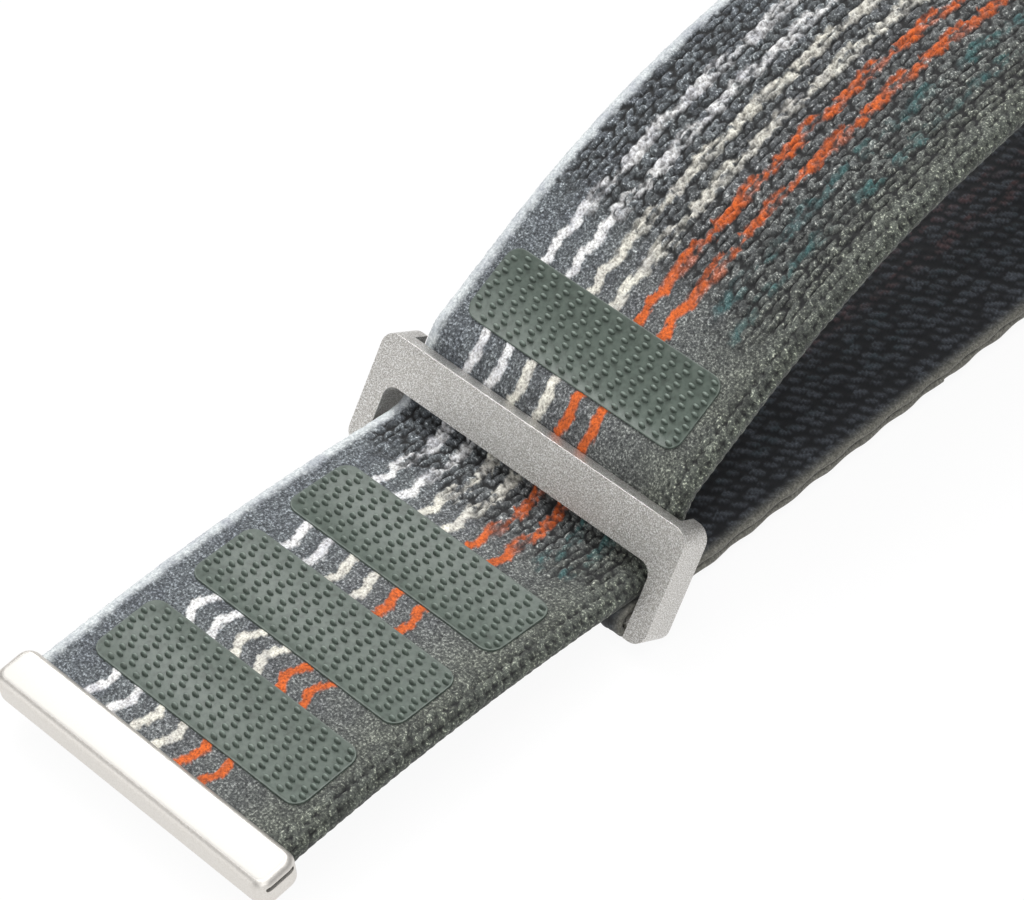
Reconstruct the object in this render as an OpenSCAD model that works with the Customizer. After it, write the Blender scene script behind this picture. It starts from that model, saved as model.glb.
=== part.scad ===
/* [Webbing] */
// Width of both woven straps, mm
strap_w = 22; // [20:0.5:24]
// Thickness of the long hook-and-loop webbing
web_t = 1.4; // [1.2:0.05:1.6]
// Thickness of one layer of the short strap, which is folded double
layer_t = 0.6; // [0.55:0.05:0.65]
// Radius of the tail's gentle arch
tail_arch_r = 140; // [120:5:400]
// Downward slope of the tail where it enters the ring, degrees
enter_slope = 4.5; // [3:0.5:6]
// Radius of the long strap's bend behind the ring
bend_r = 2.5; // [2.3:0.1:2.7]
// Slope of the long strap under the fourth patch, degrees
patch_slope = 30; // [26:1:34]
// Radius of the long strap's rise towards the wrist
rise_r = 57; // [50:1:64]
// Radius of the top of the arch
arch_r = 50; // [44:1:56]
// Steepest slope on the far side of the arch, degrees
fall_slope = 33; // [31:0.5:34]
// Radius where the long strap flattens out at the lug
foot_r = 30; // [24:1:36]
// Length of the short strap from the ring bar to its spring bar
short_run = 60; // [56:1:66]
// Length of the folded and stitched layer at the long strap's loop
fold_len = 7; // [6:0.5:8]

/* [Hook patches] */
// Bare webbing beside a hook patch on each side
patch_margin = 2; // [1.8:0.1:3]
// Length of a hook patch along the strap
patch_len = 5.5; // [5:0.1:6]
// Distance from one patch to the next on the tail
patch_pitch = 8; // [7.8:0.1:8.4]
// Thickness of the patch plate
patch_t = 0.25; // [0.2:0.05:0.4]
// Corner radius of a patch
patch_r = 1; // [0.6:0.1:1.4]
// Radius of one hook stud
stud_r = 0.27; // [0.2:0.01:0.3]
// Height of one hook stud
stud_h = 0.25; // [0.2:0.05:0.35]
// Spacing of the studs across the strap
stud_x = 0.96; // [0.9:0.02:1.1]
// Spacing of the stud rows along the strap
stud_y = 0.74; // [0.7:0.02:0.8]

/* [Ring] */
// Width of each side wall of the ring
ring_side_w = 1.55; // [1.4:0.05:2]
// Gap between the strap's edge and the ring's side wall
ring_side_gap = 0.45; // [0.3:0.05:0.6]
// Depth of the ring from front to back
ring_d = 2.4; // [2.2:0.1:2.6]
// Height of the wide top bar
top_bar_h = 3.15; // [2.9:0.05:3.3]
// Depth of the top bar between the side walls
top_bar_d = 1.1; // [1:0.05:1.2]
// Height of the opening over the lower bar
ring_gap_h = 3.6; // [3.5:0.05:3.8]
// Radius of the thin lower bar
low_bar_r = 0.65; // [0.6:0.05:0.7]
// Lean of the ring away from the tail, degrees
ring_lean = 30; // [28:1:32]
// Outer corner radius of the ring
ring_corner = 1.1; // [0.9:0.1:1.6]
// Inner corner radius of the ring
ring_inner_r = 0.9; // [0.7:0.05:1]
// Radius on the ring's long edges
ring_edge = 0.4; // [0.3:0.05:0.45]

/* [End bar] */
// How far the end bar stands out past the strap's edge
end_over = 0.8; // [0.5:0.1:1.2]
// Size of the end bar along the strap
end_len = 3.2; // [3:0.1:3.6]
// Height of the end bar
end_h = 2.3; // [2.1:0.1:2.6]
// Radius on the end bar's edges
end_edge = 0.6; // [0.4:0.05:0.8]

/* [Spring bars] */
// Radius of a spring bar's barrel
barrel_r = 0.9; // [0.8:0.05:1]
// How far the barrel's end sits inside the strap's edge
barrel_inset = 0.3; // [0.2:0.05:0.5]
// Radius of the tip that enters the watch lug
tip_r = 0.4; // [0.35:0.05:0.45]
// Reach of a tip out of the barrel
tip_reach = 1.3; // [1:0.1:1.5]
// Travel of the quick-release tip
release = 1.3; // [1:0.1:1.4]
// Place of the quick-release knob, in from the barrel's end
knob_in = 3.2; // [2.8:0.1:3.6]
// Radius of the quick-release knob
knob_r = 0.4; // [0.35:0.05:0.45]
// Coils of the spring
coils = 12; // [8:1:14]

/* [Stitching] */
// Radius of the sewing thread
thread_r = 0.15; // [0.12:0.01:0.18]
// Spacing of the stitch holes across the strap
stitch_x = 1.8; // [1.6:0.1:2]

/* [Hidden] */
$fn = 48;

run_clear = 0.05;
hinge_clear = 0.05;
seat_clear = 0.03;
bend_clear = 0.2;
wrap_clear = 0.12;
hinge_before = 3.7;
ring_chamfer = 0.3;
slit_h = 0.35;
slit_wall = 0.5;
loop_turn = 25;
return_r = 3;
flex_run = 2;
lug_flat = 7;
over_top = 0.55;
patch_gap = 1.1;
end_grip = 0.7;
stud_edge = 0.7;
short_hinge_at = 15;
short_hinge_gap = 29;

// Widths that follow the strap's width.
patch_w = strap_w - 2 * patch_margin;
ring_gap_w = strap_w + 2 * ring_side_gap;
ring_w = ring_gap_w + 2 * ring_side_w;
end_w = strap_w + 2 * end_over;
barrel_len = strap_w - 2 * barrel_inset;
knob_x = barrel_len / 2 - knob_in;
sewn_in = 0.04;
web_color = [0.42, 0.43, 0.45];
short_color = [0.16, 0.16, 0.18];
hook_color = [0.55, 0.58, 0.55];
steel_color = [0.74, 0.73, 0.71];
thread_color = [0.35, 0.36, 0.38];

// A pose is [y, z, heading in degrees], a path step is [length, 0] or [radius, turn].
function step(p, s) = s[1] == 0
  ? [p[0] + s[0] * cos(p[2]), p[1] + s[0] * sin(p[2]), p[2]]
  : [p[0] + sign(s[1]) * s[0] * (sin(p[2] + s[1]) - sin(p[2])),
     p[1] + sign(s[1]) * s[0] * (cos(p[2]) - cos(p[2] + s[1])),
     p[2] + s[1]];
function pose(path, n, p) = n == 0 ? p : step(pose(path, n - 1, p), path[n - 1]);
function ending(path, p) = pose(path, len(path), p);
function left_of(p, d) = [p[0] - d * sin(p[2]), p[1] + d * cos(p[2]), p[2]];
function turn_for(length, radius) = length / radius * 180 / PI;

// The ring: its lower bar's centre, with one layer of the short strap wrapped round it.
short_t = 2 * layer_t;
short_loop_r = low_bar_r + run_clear + layer_t / 2;
bar_z = short_loop_r + layer_t / 2;
ring_front = ring_d / 2;
gap_top = low_bar_r + ring_gap_h;

// The tail's line over the wrapped bar and the line that climbs behind the top bar.
enter_h = (short_loop_r + layer_t / 2 + wrap_clear + web_t / 2) / cos(enter_slope);
climb_u = top_bar_d - ring_front + bend_clear + web_t / 2;
climb = 90 - ring_lean;
meet_v = (enter_h + climb_u * (sin(ring_lean) - tan(enter_slope) * cos(ring_lean)))
         / (cos(ring_lean) + tan(enter_slope) * sin(ring_lean));
bend_tangent = bend_r * tan((climb + enter_slope) / 2);
meet = [climb_u * cos(ring_lean) + meet_v * sin(ring_lean),
        bar_z - climb_u * sin(ring_lean) + meet_v * cos(ring_lean), -enter_slope];
bend_start = step(meet, [-bend_tangent, 0]);

// The long strap's path, from the hinge in front of the ring to its lug.
first_run = (bend_start[0] + hinge_before) / cos(enter_slope);
climb_run = gap_top + top_bar_h + over_top - meet_v - bend_tangent;
crest_r = 3;
patch_zone = patch_len + patch_gap;
rise_turn = 19;
crest_slope = patch_slope - rise_turn;
ring_path = [[first_run - web_t / 2 - hinge_clear, 0], [bend_r, climb + enter_slope],
             [climb_run, 0], [crest_r, patch_slope - climb], [patch_zone, 0],
             [rise_r, -rise_turn]];
hinge_1 = step(bend_start, [-first_run, 0]);
ring_start = step(hinge_1, [web_t / 2 + hinge_clear, 0]);
crown = ending(ring_path, ring_start);
hinge_long_1 = step(crown, [flex_run, 0]);
arch_start = step(hinge_long_1, [web_t / 2 + hinge_clear, 0]);
arch_path = [[arch_r, -(crest_slope + fall_slope)]];
arch_end = ending(arch_path, arch_start);
hinge_long_2 = step(arch_end, [flex_run, 0]);
lug_start = step(hinge_long_2, [web_t / 2 + hinge_clear, 0]);

// The long lug lies on the table with its loop.
long_loop_r = barrel_r + run_clear + web_t / 2;
foot_z = 2 * long_loop_r + web_t / 2;
foot_drop = foot_r * (1 - cos(fall_slope));
fall_run = (lug_start[1] - foot_z - foot_drop) / sin(fall_slope);
lug_run = fold_len + lug_flat;
lug_path = [[fall_run, 0], [foot_r, fall_slope], [lug_run, 0]];
lug_end = ending(lug_path, lug_start);
long_bar_at = left_of(lug_end, -long_loop_r);

// The loops: around the pin, back to the strap, then flat against it.
function rejoin(loop, t) =
  (2 * loop - t + sewn_in - (loop + return_r) * (1 - cos(loop_turn))) / sin(loop_turn);
function loop_path(loop, t, side) =
  [[loop, side * (180 + loop_turn)], [rejoin(loop, t), 0],
   [return_r, -side * loop_turn], [fold_len, 0]];
long_loop = loop_path(long_loop_r, web_t, -1);

// The short strap: two layers that part round the ring's bar and round the spring bar.
short_lug_r = barrel_r + run_clear + layer_t / 2;
short_rise = asin((short_lug_r - short_loop_r) / short_run);
short_bar_0 = [0, bar_z, short_rise];
hinge_short_1 = step(short_bar_0, [short_hinge_at, 0]);
hinge_short_2 = step(hinge_short_1, [short_hinge_gap, 0]);
short_bar_at = step(short_bar_0, [short_run, 0]);

// An eye in a doubled strap: the layers part, go round a bar and meet again.
function eye_leg(loop) =
  (loop - layer_t / 2 - (loop + return_r) * (1 - cos(loop_turn))) / sin(loop_turn);
function eye_reach(loop) =
  eye_leg(loop) * cos(loop_turn) + (loop + return_r) * sin(loop_turn);
function eye_path(loop) =
  [[return_r, -loop_turn], [eye_leg(loop), 0], [loop, 180 + 2 * loop_turn],
   [eye_leg(loop), 0], [return_r, -loop_turn]];
function eye_walk(bar, heading, loop) =
  walk(eye_path(loop),
       left_of(step([bar[0], bar[1], heading], [-eye_reach(loop), 0]), -layer_t / 2));
function eye_outer(bar, heading, loop) =
  [for (q = eye_walk(bar, heading, loop)) flat_of(left_of(q, -layer_t / 2))];
function eye_inner(bar, heading, loop) =
  let (q = eye_walk(bar, heading, loop))
  [for (i = [0 : len(q) - 2]) flat_of(left_of(q[i], layer_t / 2))];

// The tail, drawn from the hinge outwards.
tail_hinge_1 = [hinge_1[0], hinge_1[1], 180 - enter_slope];
tail_turn = turn_for(patch_pitch, tail_arch_r);
tail_hinge_2 = step(tail_hinge_1, [tail_arch_r, tail_turn]);
tail_hinge_3 = step(tail_hinge_2, [tail_arch_r, tail_turn]);
tip_gap = 2.2;
tip_run = patch_pitch / 2 + patch_len / 2 + tip_gap + end_len - end_grip;
tip_turn = turn_for(tip_run, tail_arch_r);
start_turn = turn_for(web_t / 2 + hinge_clear, tail_arch_r);
tail_tip = step(tail_hinge_3, [tail_arch_r, tip_turn]);
end_bar_at = step(tail_tip, [end_grip, 0]);

// The whole strap is centred on the frame's origin.
tip_tilt = end_bar_at[2] - 180;
front_y = end_bar_at[0] - (end_h / 2 - end_edge) * sin(abs(tip_tilt))
          - end_edge * (1 - cos(tip_tilt));
rear_y = lug_end[0] + long_loop_r + web_t / 2;
shift_y = -(front_y + rear_y) / 2;

// Stitches.
stitch_n = 11;
thread_clear = 0.03;

module at(p) {
  translate([0, p[0] + shift_y, p[1]])
    rotate([p[2], 0, 0])
      children();
}

// The strap's side outline, sampled along its path.
function samples(s) = s[1] == 0 ? 1 : ceil(abs(s[1]) * PI / 180 / sqrt(0.03 / s[0]));
function part_of(s, k, n) = s[1] == 0 ? [s[0] * k / n, 0] : [s[0], s[1] * k / n];
function walk(path, p, i = 0) = i == len(path) ? [p]
  : concat([for (k = [0 : samples(path[i]) - 1])
              k == 0 ? p : step(p, part_of(path[i], k, samples(path[i])))],
           walk(path, step(p, path[i]), i + 1));
function flat_of(p) = [p[0], p[1]];
function round_end(p, r, from) =
  [for (k = [1 : 11]) [p[0] + r * cos(p[2] + from - 15 * k), p[1] + r * sin(p[2] + from - 15 * k)]];
function outline(path, p, t, round_start, round_stop) =
  let (q = walk(path, p), n = len(q) - 1)
  concat([for (i = [0 : n]) flat_of(left_of(q[i], t / 2))],
         round_stop ? round_end(q[n], t / 2, 90) : [],
         [for (i = [n : -1 : 0]) flat_of(left_of(q[i], -t / 2))],
         round_start ? round_end(q[0], t / 2, -90) : []);

// Everything drawn inside it in the Y-Z plane becomes as wide as the strap.
module across(w) {
  translate([0, shift_y, 0])
    rotate([90, 0, 90])
      linear_extrude(w, center = true)
        children();
}

// Hook patches.
module stud_grid() {
  rows = floor((patch_len - stud_edge) / stud_y) + 1;
  cols = floor((patch_w - 1.0) / stud_x);
  for (j = [0 : rows - 1])
    for (i = [0 : cols - 1 - (j % 2)])
      translate([(i - (cols - 1 - (j % 2)) / 2) * stud_x,
                 (j - (rows - 1) / 2) * stud_y, 0])
        cylinder(r = stud_r, h = patch_t + stud_h, $fn = 16);
}

module patch_body() {
  linear_extrude(patch_t) {
    square([patch_w - 2 * patch_r, patch_len], center = true);
    square([patch_w, patch_len - 2 * patch_r], center = true);
    for (x = [-1, 1], y = [-1, 1])
      translate([x * (patch_w / 2 - patch_r), y * (patch_len / 2 - patch_r)])
        circle(r = patch_r);
  }
  stud_grid();
}

module tail_patch(hinge) {
  color(hook_color)
    at(step(hinge, [tail_arch_r, tail_turn / 2]))
      translate([0, 0, -web_t / 2])
        rotate([180, 0, 0])
          patch_body();
}

module hook_patch_1() { tail_patch(tail_hinge_3); }
module hook_patch_2() { tail_patch(tail_hinge_2); }
module hook_patch_3() { tail_patch(tail_hinge_1); }

module hook_patch_4() {
  color(hook_color)
    at(step(pose(ring_path, 4, ring_start), [patch_zone / 2, 0]))
      translate([0, 0, web_t / 2])
        patch_body();
}

// Tail lengths between the bending lines.
module tail_span(hinge, run, rounded) {
  start = step(hinge, [tail_arch_r, start_turn]);
  color(web_color)
    across(strap_w)
      polygon(outline([[tail_arch_r, turn_for(run, tail_arch_r) - start_turn]],
                      start, web_t, false, rounded));
}

module tail_length_3() { tail_span(tail_hinge_1, patch_pitch, true); }
module tail_length_2() { tail_span(tail_hinge_2, patch_pitch, true); }
module tail_length_1() { tail_span(tail_hinge_3, tip_run, false); }

module rounded_rect(w, h, r) {
  square([w - 2 * r, h], center = true);
  square([w, h - 2 * r], center = true);
  for (x = [-1, 1], y = [-1, 1])
    translate([x * (w / 2 - r), y * (h / 2 - r)])
      circle(r = r);
}

// The end bar is clamped over the tail's tip.
module tail_end_bar() {
  pocket_w = strap_w + 0.1;
  color(steel_color)
    difference() {
      at(end_bar_at)
        intersection() {
          translate([0, -end_len / 2, 0])
            rotate([90, 0, 90])
              linear_extrude(end_w, center = true)
                rounded_rect(end_len, end_h, end_edge);
          translate([0, -end_len / 2, 0])
            linear_extrude(end_h + 1, center = true)
              rounded_rect(end_w, end_len, 0.9);
          translate([0, -end_len / 2, 0])
            rotate([90, 0, 0])
              linear_extrude(end_len + 1, center = true)
                rounded_rect(end_w, end_h, end_edge);
        }
      at(step(tail_tip, [seat_clear, 0]))
        translate([-pocket_w / 2, -end_len, -web_t / 2 - seat_clear])
          cube([pocket_w, end_len, web_t + 2 * seat_clear]);
      at(end_bar_at)
        translate([-end_w, slit_wall - end_len, -web_t / 2])
          cube([2 * end_w, end_len - 2 * slit_wall, slit_h]);
    }
}

// Long strap at the ring, with a rounded edge to bend on at both ends.
module long_ring_length() {
  path = concat([[web_t / 2 + hinge_clear, 0]], ring_path, [[flex_run, 0]]);
  color(web_color)
    across(strap_w)
      polygon(outline(path, hinge_1, web_t, true, true));
}

module long_arch_length() {
  color(web_color)
    across(strap_w)
      polygon(outline(concat(arch_path, [[flex_run, 0]]), arch_start, web_t, false, true));
}

// The notch that lets a finger reach the release knob.
module knob_notch(dir) {
  translate([knob_x - release - knob_r - 0.15, -0.85, dir > 0 ? 0.6 : -4])
    cube([release + 2 * knob_r + 0.3, 1.7, 3.4]);
}

module long_lug_length() {
  color(web_color)
    difference() {
      across(strap_w) {
        polygon(outline(lug_path, lug_start, web_t, false, false));
        polygon(outline(long_loop, lug_end, web_t, false, false));
      }
      at(long_bar_at) knob_notch(-1);
      long_stitch_rows(thread_r + thread_clear);
    }
}

// One row of lockstitch, sunk flush: holes across the strap joined above and below.
module stitch_row(top, bottom, r) {
  high = top - thread_r;
  low = bottom + thread_r;
  for (i = [0 : stitch_n - 1])
    translate([(i - (stitch_n - 1) / 2) * stitch_x, 0, low])
      cylinder(r = r, h = high - low, $fn = 16);
  for (i = [0 : stitch_n - 2])
    translate([(i - (stitch_n - 2) / 2) * stitch_x, 0, i % 2 == 0 ? high : low])
      rotate([0, 90, 0])
        cylinder(r = r, h = stitch_x, center = true, $fn = 16);
  for (i = [0 : stitch_n - 1], z = [high, low])
    translate([(i - (stitch_n - 1) / 2) * stitch_x, 0, z])
      sphere(r = r, $fn = 16);
}

module stitch_rows(p, top, bottom, r) {
  at(p) {
    translate([0, 1, 0]) stitch_row(top, bottom, r);
    translate([0, fold_len - 1.2, 0]) stitch_row(top, bottom, r);
  }
}

long_sew_at = step(pose(long_loop, 3, lug_end), [0, 0]);
module long_stitch_rows(r) {
  stitch_rows(long_sew_at, web_t / 2, -1.5 * web_t, r);
}

short_sew_at = step([short_bar_at[0], short_bar_at[1], short_rise + 180],
                    [eye_reach(short_lug_r), 0]);
module short_stitch_rows(r) { stitch_rows(short_sew_at, short_t / 2, -short_t / 2, r); }

ring_sew_at = step(short_bar_0, [eye_reach(short_loop_r), 0]);
module ring_stitch_rows(r) { stitch_rows(ring_sew_at, short_t / 2, -short_t / 2, r); }

module long_lug_stitching() { color(thread_color) long_stitch_rows(thread_r); }
module short_lug_stitching() { color(thread_color) short_stitch_rows(thread_r); }
module short_ring_stitching() { color(thread_color) ring_stitch_rows(thread_r); }

// The ring: a wide top bar, two side walls and a thin round lower bar.
module ring() {
  low = -low_bar_r - 0.15;
  high = gap_top + top_bar_h;
  mid_v = (low + high) / 2;
  tall = high - low;
  mid_u = ring_d / 2 - ring_front;
  color(steel_color)
    at([0, bar_z, -ring_lean]) {
      difference() {
        intersection() {
          translate([0, mid_u, mid_v])
            rotate([90, 0, 0])
              linear_extrude(ring_d, center = true)
                rounded_rect(ring_w, tall, ring_corner);
          translate([0, mid_u, mid_v])
            rotate([90, 0, 90])
              linear_extrude(ring_w, center = true)
                rounded_rect(ring_d, tall, ring_edge);
          translate([0, mid_u, mid_v])
            linear_extrude(tall, center = true)
              rounded_rect(ring_w, ring_d, ring_edge);
        }
        translate([0, mid_u, gap_top / 2 - 2])
          rotate([90, 0, 0])
            linear_extrude(ring_d + 1, center = true)
              rounded_rect(ring_gap_w, gap_top + 4, ring_inner_r);
        translate([0, -ring_front, gap_top])
          rotate([45, 0, 0])
            cube([ring_gap_w - 2 * ring_inner_r, ring_chamfer, ring_chamfer], center = true);
        translate([-ring_gap_w / 2, top_bar_d - ring_front, low])
          cube([ring_gap_w, ring_d, 2 * high]);
      }
      rotate([0, 90, 0])
        cylinder(r = low_bar_r, h = ring_gap_w + 1, center = true);
    }
}

// Short strap.
module short_ring_length() {
  far = hinge_short_1;
  color(short_color)
    difference() {
      across(strap_w)
        difference() {
          polygon(concat(eye_outer(short_bar_0, short_rise + 180, short_loop_r),
                         [flat_of(left_of(far, -short_t / 2))],
                         [for (k = [1 : 11])
                            [far[0] + short_t / 2 * cos(short_rise - 90 + 15 * k),
                             far[1] + short_t / 2 * sin(short_rise - 90 + 15 * k)]],
                         [flat_of(left_of(far, short_t / 2))]));
          polygon(eye_inner(short_bar_0, short_rise + 180, short_loop_r));
        }
      ring_stitch_rows(thread_r + thread_clear);
    }
}

module short_mid_length() {
  start = step(hinge_short_1, [short_t / 2 + hinge_clear, 0]);
  color(short_color)
    across(strap_w)
      polygon(outline([[short_hinge_gap - short_t / 2 - hinge_clear, 0]], start, short_t,
                      false, true));
}

module short_lug_length() {
  start = step(hinge_short_2, [short_t / 2 + hinge_clear, 0]);
  color(short_color)
    difference() {
      across(strap_w)
        difference() {
          polygon(concat(eye_outer(short_bar_at, short_rise, short_lug_r),
                         [flat_of(left_of(start, short_t / 2)),
                          flat_of(left_of(start, -short_t / 2))]));
          polygon(eye_inner(short_bar_at, short_rise, short_lug_r));
        }
      at(short_bar_at) knob_notch(1);
      short_stitch_rows(thread_r + thread_clear);
    }
}

// Spring bars, drawn along X about their own axis. The knob points to dir.
inner_r = 0.62;
cap = 0.4;
tip_z = barrel_len / 2;
slider_in = knob_x - 0.6;
fixed_in = -tip_z + 2 * cap;
shank_r = inner_r - run_clear;
cone = shank_r - tip_r;

module along_x(x0, x1, r) {
  translate([x0, 0, 0])
    rotate([0, 90, 0])
      cylinder(r = r, h = x1 - x0);
}

module bar_barrel(dir) {
  difference() {
    along_x(-tip_z, tip_z, barrel_r);
    along_x(-tip_z + cap, tip_z + 1, inner_r);
    along_x(-tip_z - 1, 0, shank_r);
    translate([knob_x - release - knob_r - 0.05, -knob_r - 0.03, dir > 0 ? 0 : -2])
      cube([release + 2 * knob_r + 0.1, 2 * knob_r + 0.06, 2]);
  }
}

// The pivot that enters the watch lug, with a cone up to the shank behind it.
module bar_pivot() {
  along_x(tip_z - 0.1, tip_z + tip_reach, tip_r);
  translate([tip_z, 0, 0])
    rotate([0, 90, 0])
      cylinder(r1 = shank_r, r2 = tip_r, h = cone);
}

module bar_fixed_tip() {
  mirror([1, 0, 0]) bar_pivot();
  along_x(-tip_z, -tip_z + cap + 0.1, shank_r);
  along_x(-tip_z + cap, fixed_in, inner_r - 0.01);
}

module bar_sliding_tip() {
  difference() {
    union() {
      along_x(slider_in, tip_z, shank_r);
      bar_pivot();
    }
    translate([knob_x, 0, 0]) cylinder(r = knob_r - 0.1, h = 4, center = true);
  }
}

module bar_knob(dir) {
  reach = 2.1;
  rotate([dir > 0 ? 0 : 180, 0, 0])
    translate([knob_x, 0, 0]) {
      translate([0, 0, -inner_r + 0.12])
        cylinder(r = knob_r - 0.1, h = reach + inner_r - 0.12, $fn = 32);
      translate([0, 0, inner_r + 0.02])
        cylinder(r = knob_r, h = reach - inner_r - 0.02, $fn = 32);
    }
}

// A round wire wound about X, eight rings a turn.
module bar_spring() {
  wire = 0.09;
  coil = inner_r - 0.1 - wire;
  x0 = fixed_in + wire + 0.01;
  x1 = slider_in - wire - 0.01;
  rings = coils * 8;
  sides = 6;
  pts = [for (i = [0 : rings]) for (k = [0 : sides - 1])
    let (a = i * 45, b = k * 360 / sides, q = coil + wire * cos(b))
      [x0 + (x1 - x0) * i / rings + wire * sin(b), q * cos(a), q * sin(a)]];
  walls = [for (i = [0 : rings - 1]) for (k = [0 : sides - 1]) for (half = [0, 1])
    let (a = i * sides + k, b = i * sides + (k + 1) % sides)
      half == 0 ? [a, b, b + sides] : [a, b + sides, a + sides]];
  polyhedron(points = pts, convexity = 8,
    faces = concat([[for (k = [sides - 1 : -1 : 0]) k]], walls,
                   [[for (k = [0 : sides - 1]) rings * sides + k]]));
}

module long_bar_barrel() { color(steel_color) at(long_bar_at) bar_barrel(-1); }
module long_bar_fixed_tip() { color(steel_color) at(long_bar_at) bar_fixed_tip(); }
module long_bar_sliding_tip() { color(steel_color) at(long_bar_at) bar_sliding_tip(); }
module long_bar_release_knob() { color(steel_color) at(long_bar_at) bar_knob(-1); }
module long_bar_spring() { color(steel_color) at(long_bar_at) bar_spring(); }
module short_bar_barrel() { color(steel_color) at(short_bar_at) bar_barrel(1); }
module short_bar_fixed_tip() { color(steel_color) at(short_bar_at) bar_fixed_tip(); }
module short_bar_sliding_tip() { color(steel_color) at(short_bar_at) bar_sliding_tip(); }
module short_bar_release_knob() { color(steel_color) at(short_bar_at) bar_knob(1); }
module short_bar_spring() { color(steel_color) at(short_bar_at) bar_spring(); }

tail_length_1();
tail_length_2();
tail_length_3();
long_ring_length();
long_arch_length();
long_lug_length();
tail_end_bar();
hook_patch_1();
hook_patch_2();
hook_patch_3();
hook_patch_4();
long_lug_stitching();
ring();
short_ring_length();
short_mid_length();
short_lug_length();
short_ring_stitching();
short_lug_stitching();
long_bar_barrel();
long_bar_fixed_tip();
long_bar_sliding_tip();
long_bar_release_knob();
long_bar_spring();
short_bar_barrel();
short_bar_fixed_tip();
short_bar_sliding_tip();
short_bar_release_knob();
short_bar_spring();
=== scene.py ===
import logging
import math
from dataclasses import dataclass, field
from enum import Enum
from typing import Callable, NamedTuple, Sequence

import bpy
import numpy as np
from mathutils import Euler, Matrix, Vector


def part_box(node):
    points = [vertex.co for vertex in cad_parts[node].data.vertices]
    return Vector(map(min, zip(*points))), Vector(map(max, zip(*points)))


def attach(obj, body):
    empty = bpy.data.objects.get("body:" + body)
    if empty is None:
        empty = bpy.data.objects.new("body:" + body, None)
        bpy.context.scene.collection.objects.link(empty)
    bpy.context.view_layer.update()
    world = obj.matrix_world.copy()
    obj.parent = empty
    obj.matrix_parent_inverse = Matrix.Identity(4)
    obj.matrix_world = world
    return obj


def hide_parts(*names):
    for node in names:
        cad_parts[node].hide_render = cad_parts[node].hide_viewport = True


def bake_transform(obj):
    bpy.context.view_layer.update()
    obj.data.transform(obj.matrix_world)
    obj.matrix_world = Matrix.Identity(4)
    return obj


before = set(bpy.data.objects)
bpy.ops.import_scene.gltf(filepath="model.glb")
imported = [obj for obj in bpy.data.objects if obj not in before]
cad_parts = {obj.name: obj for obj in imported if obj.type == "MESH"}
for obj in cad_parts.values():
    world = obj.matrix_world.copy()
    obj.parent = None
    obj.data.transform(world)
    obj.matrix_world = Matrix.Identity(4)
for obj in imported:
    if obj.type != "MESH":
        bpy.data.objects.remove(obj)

log = logging.getLogger("strap")
MM = 0.001
WHITE = (1.0, 1.0, 1.0, 1.0)
# The Mix node's two colour inputs and its colour output share their names with others.
MIX_A, MIX_B, MIX_OUT = 6, 7, 2
# A direction counts as along an axis from this share of it on.
ALONG = 0.9

Stops = Sequence[tuple[float, str]]
Point = tuple[float, float, float]
Pose = tuple[float, float, float]
Step = tuple[float, float]
Test = Callable[[Vector, Vector], bool]


class Weave(Enum):
    """The two fabrics of the object."""

    HOOK_AND_LOOP = "long"
    PLAIN = "short"


class Yarn(Enum):
    """The dyed yarns, by their place on the material's colour ramp."""

    WHITE = 0.1
    CREAM = 0.4
    ORANGE = 0.65
    TEAL = 0.9


class Element(Enum):
    """What a test selects on a mesh."""

    FACE = "FACE"
    EDGE = "EDGE"


class Carve(Enum):
    """How one object changes another."""

    CUT = "DIFFERENCE"
    JOIN = "UNION"


def linear(code: str, alpha: float = 1.0) -> tuple[float, float, float, float]:
    """Turn an sRGB hex colour to linear light.

    Args:
        code: Six hex digits with a leading hash.
        alpha: The fourth channel.

    Returns:
        Linear red, green, blue and alpha.
    """
    out = []
    for k in (1, 3, 5):
        c = int(code[k:k + 2], 16) / 255
        out.append(c / 12.92 if c <= 0.04045 else ((c + 0.055) / 1.055) ** 2.4)
    return (out[0], out[1], out[2], alpha)


def unit(values: np.ndarray) -> np.ndarray:
    """Keep values between 0 and 1."""
    return np.clip(values, 0, 1)


@dataclass
class Nodes:
    """The node tree of one material or of the world."""

    tree: bpy.types.NodeTree

    def add(self, kind: str, sockets: dict | None = None, out: int | str = 0,
            stops: Stops = (), hard: bool = False,
            **settings: object) -> bpy.types.NodeSocket | None:
        """Add one shader node with its settings, values and links.

        Args:
            kind: Blender's node type name after the word ShaderNode.
            sockets: Input name or index to a value, or to the output socket that feeds it.
            out: The output that the caller goes on with.
            stops: Positions and hex colours of a colour ramp, in order.
            hard: Whether the ramp steps from colour to colour instead of blending.
            settings: Properties of the node itself.

        Returns:
            That output, or None where the node has none.
        """
        node = self.tree.nodes.new("ShaderNode" + kind)
        for name, value in settings.items():
            setattr(node, name, value)
        for name, value in (sockets or {}).items():
            if isinstance(value, bpy.types.NodeSocket):
                self.tree.links.new(value, node.inputs[name])
            else:
                node.inputs[name].default_value = value
        if stops:
            node.color_ramp.interpolation = "CONSTANT" if hard else "LINEAR"
            spots = node.color_ramp.elements
            spots.remove(spots[-1])
            spots[0].position = stops[0][0]
            spots[0].color = linear(stops[0][1])
            for place, code in stops[1:]:
                spots.new(place).color = linear(code)
        return node.outputs[out] if node.outputs else None


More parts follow.
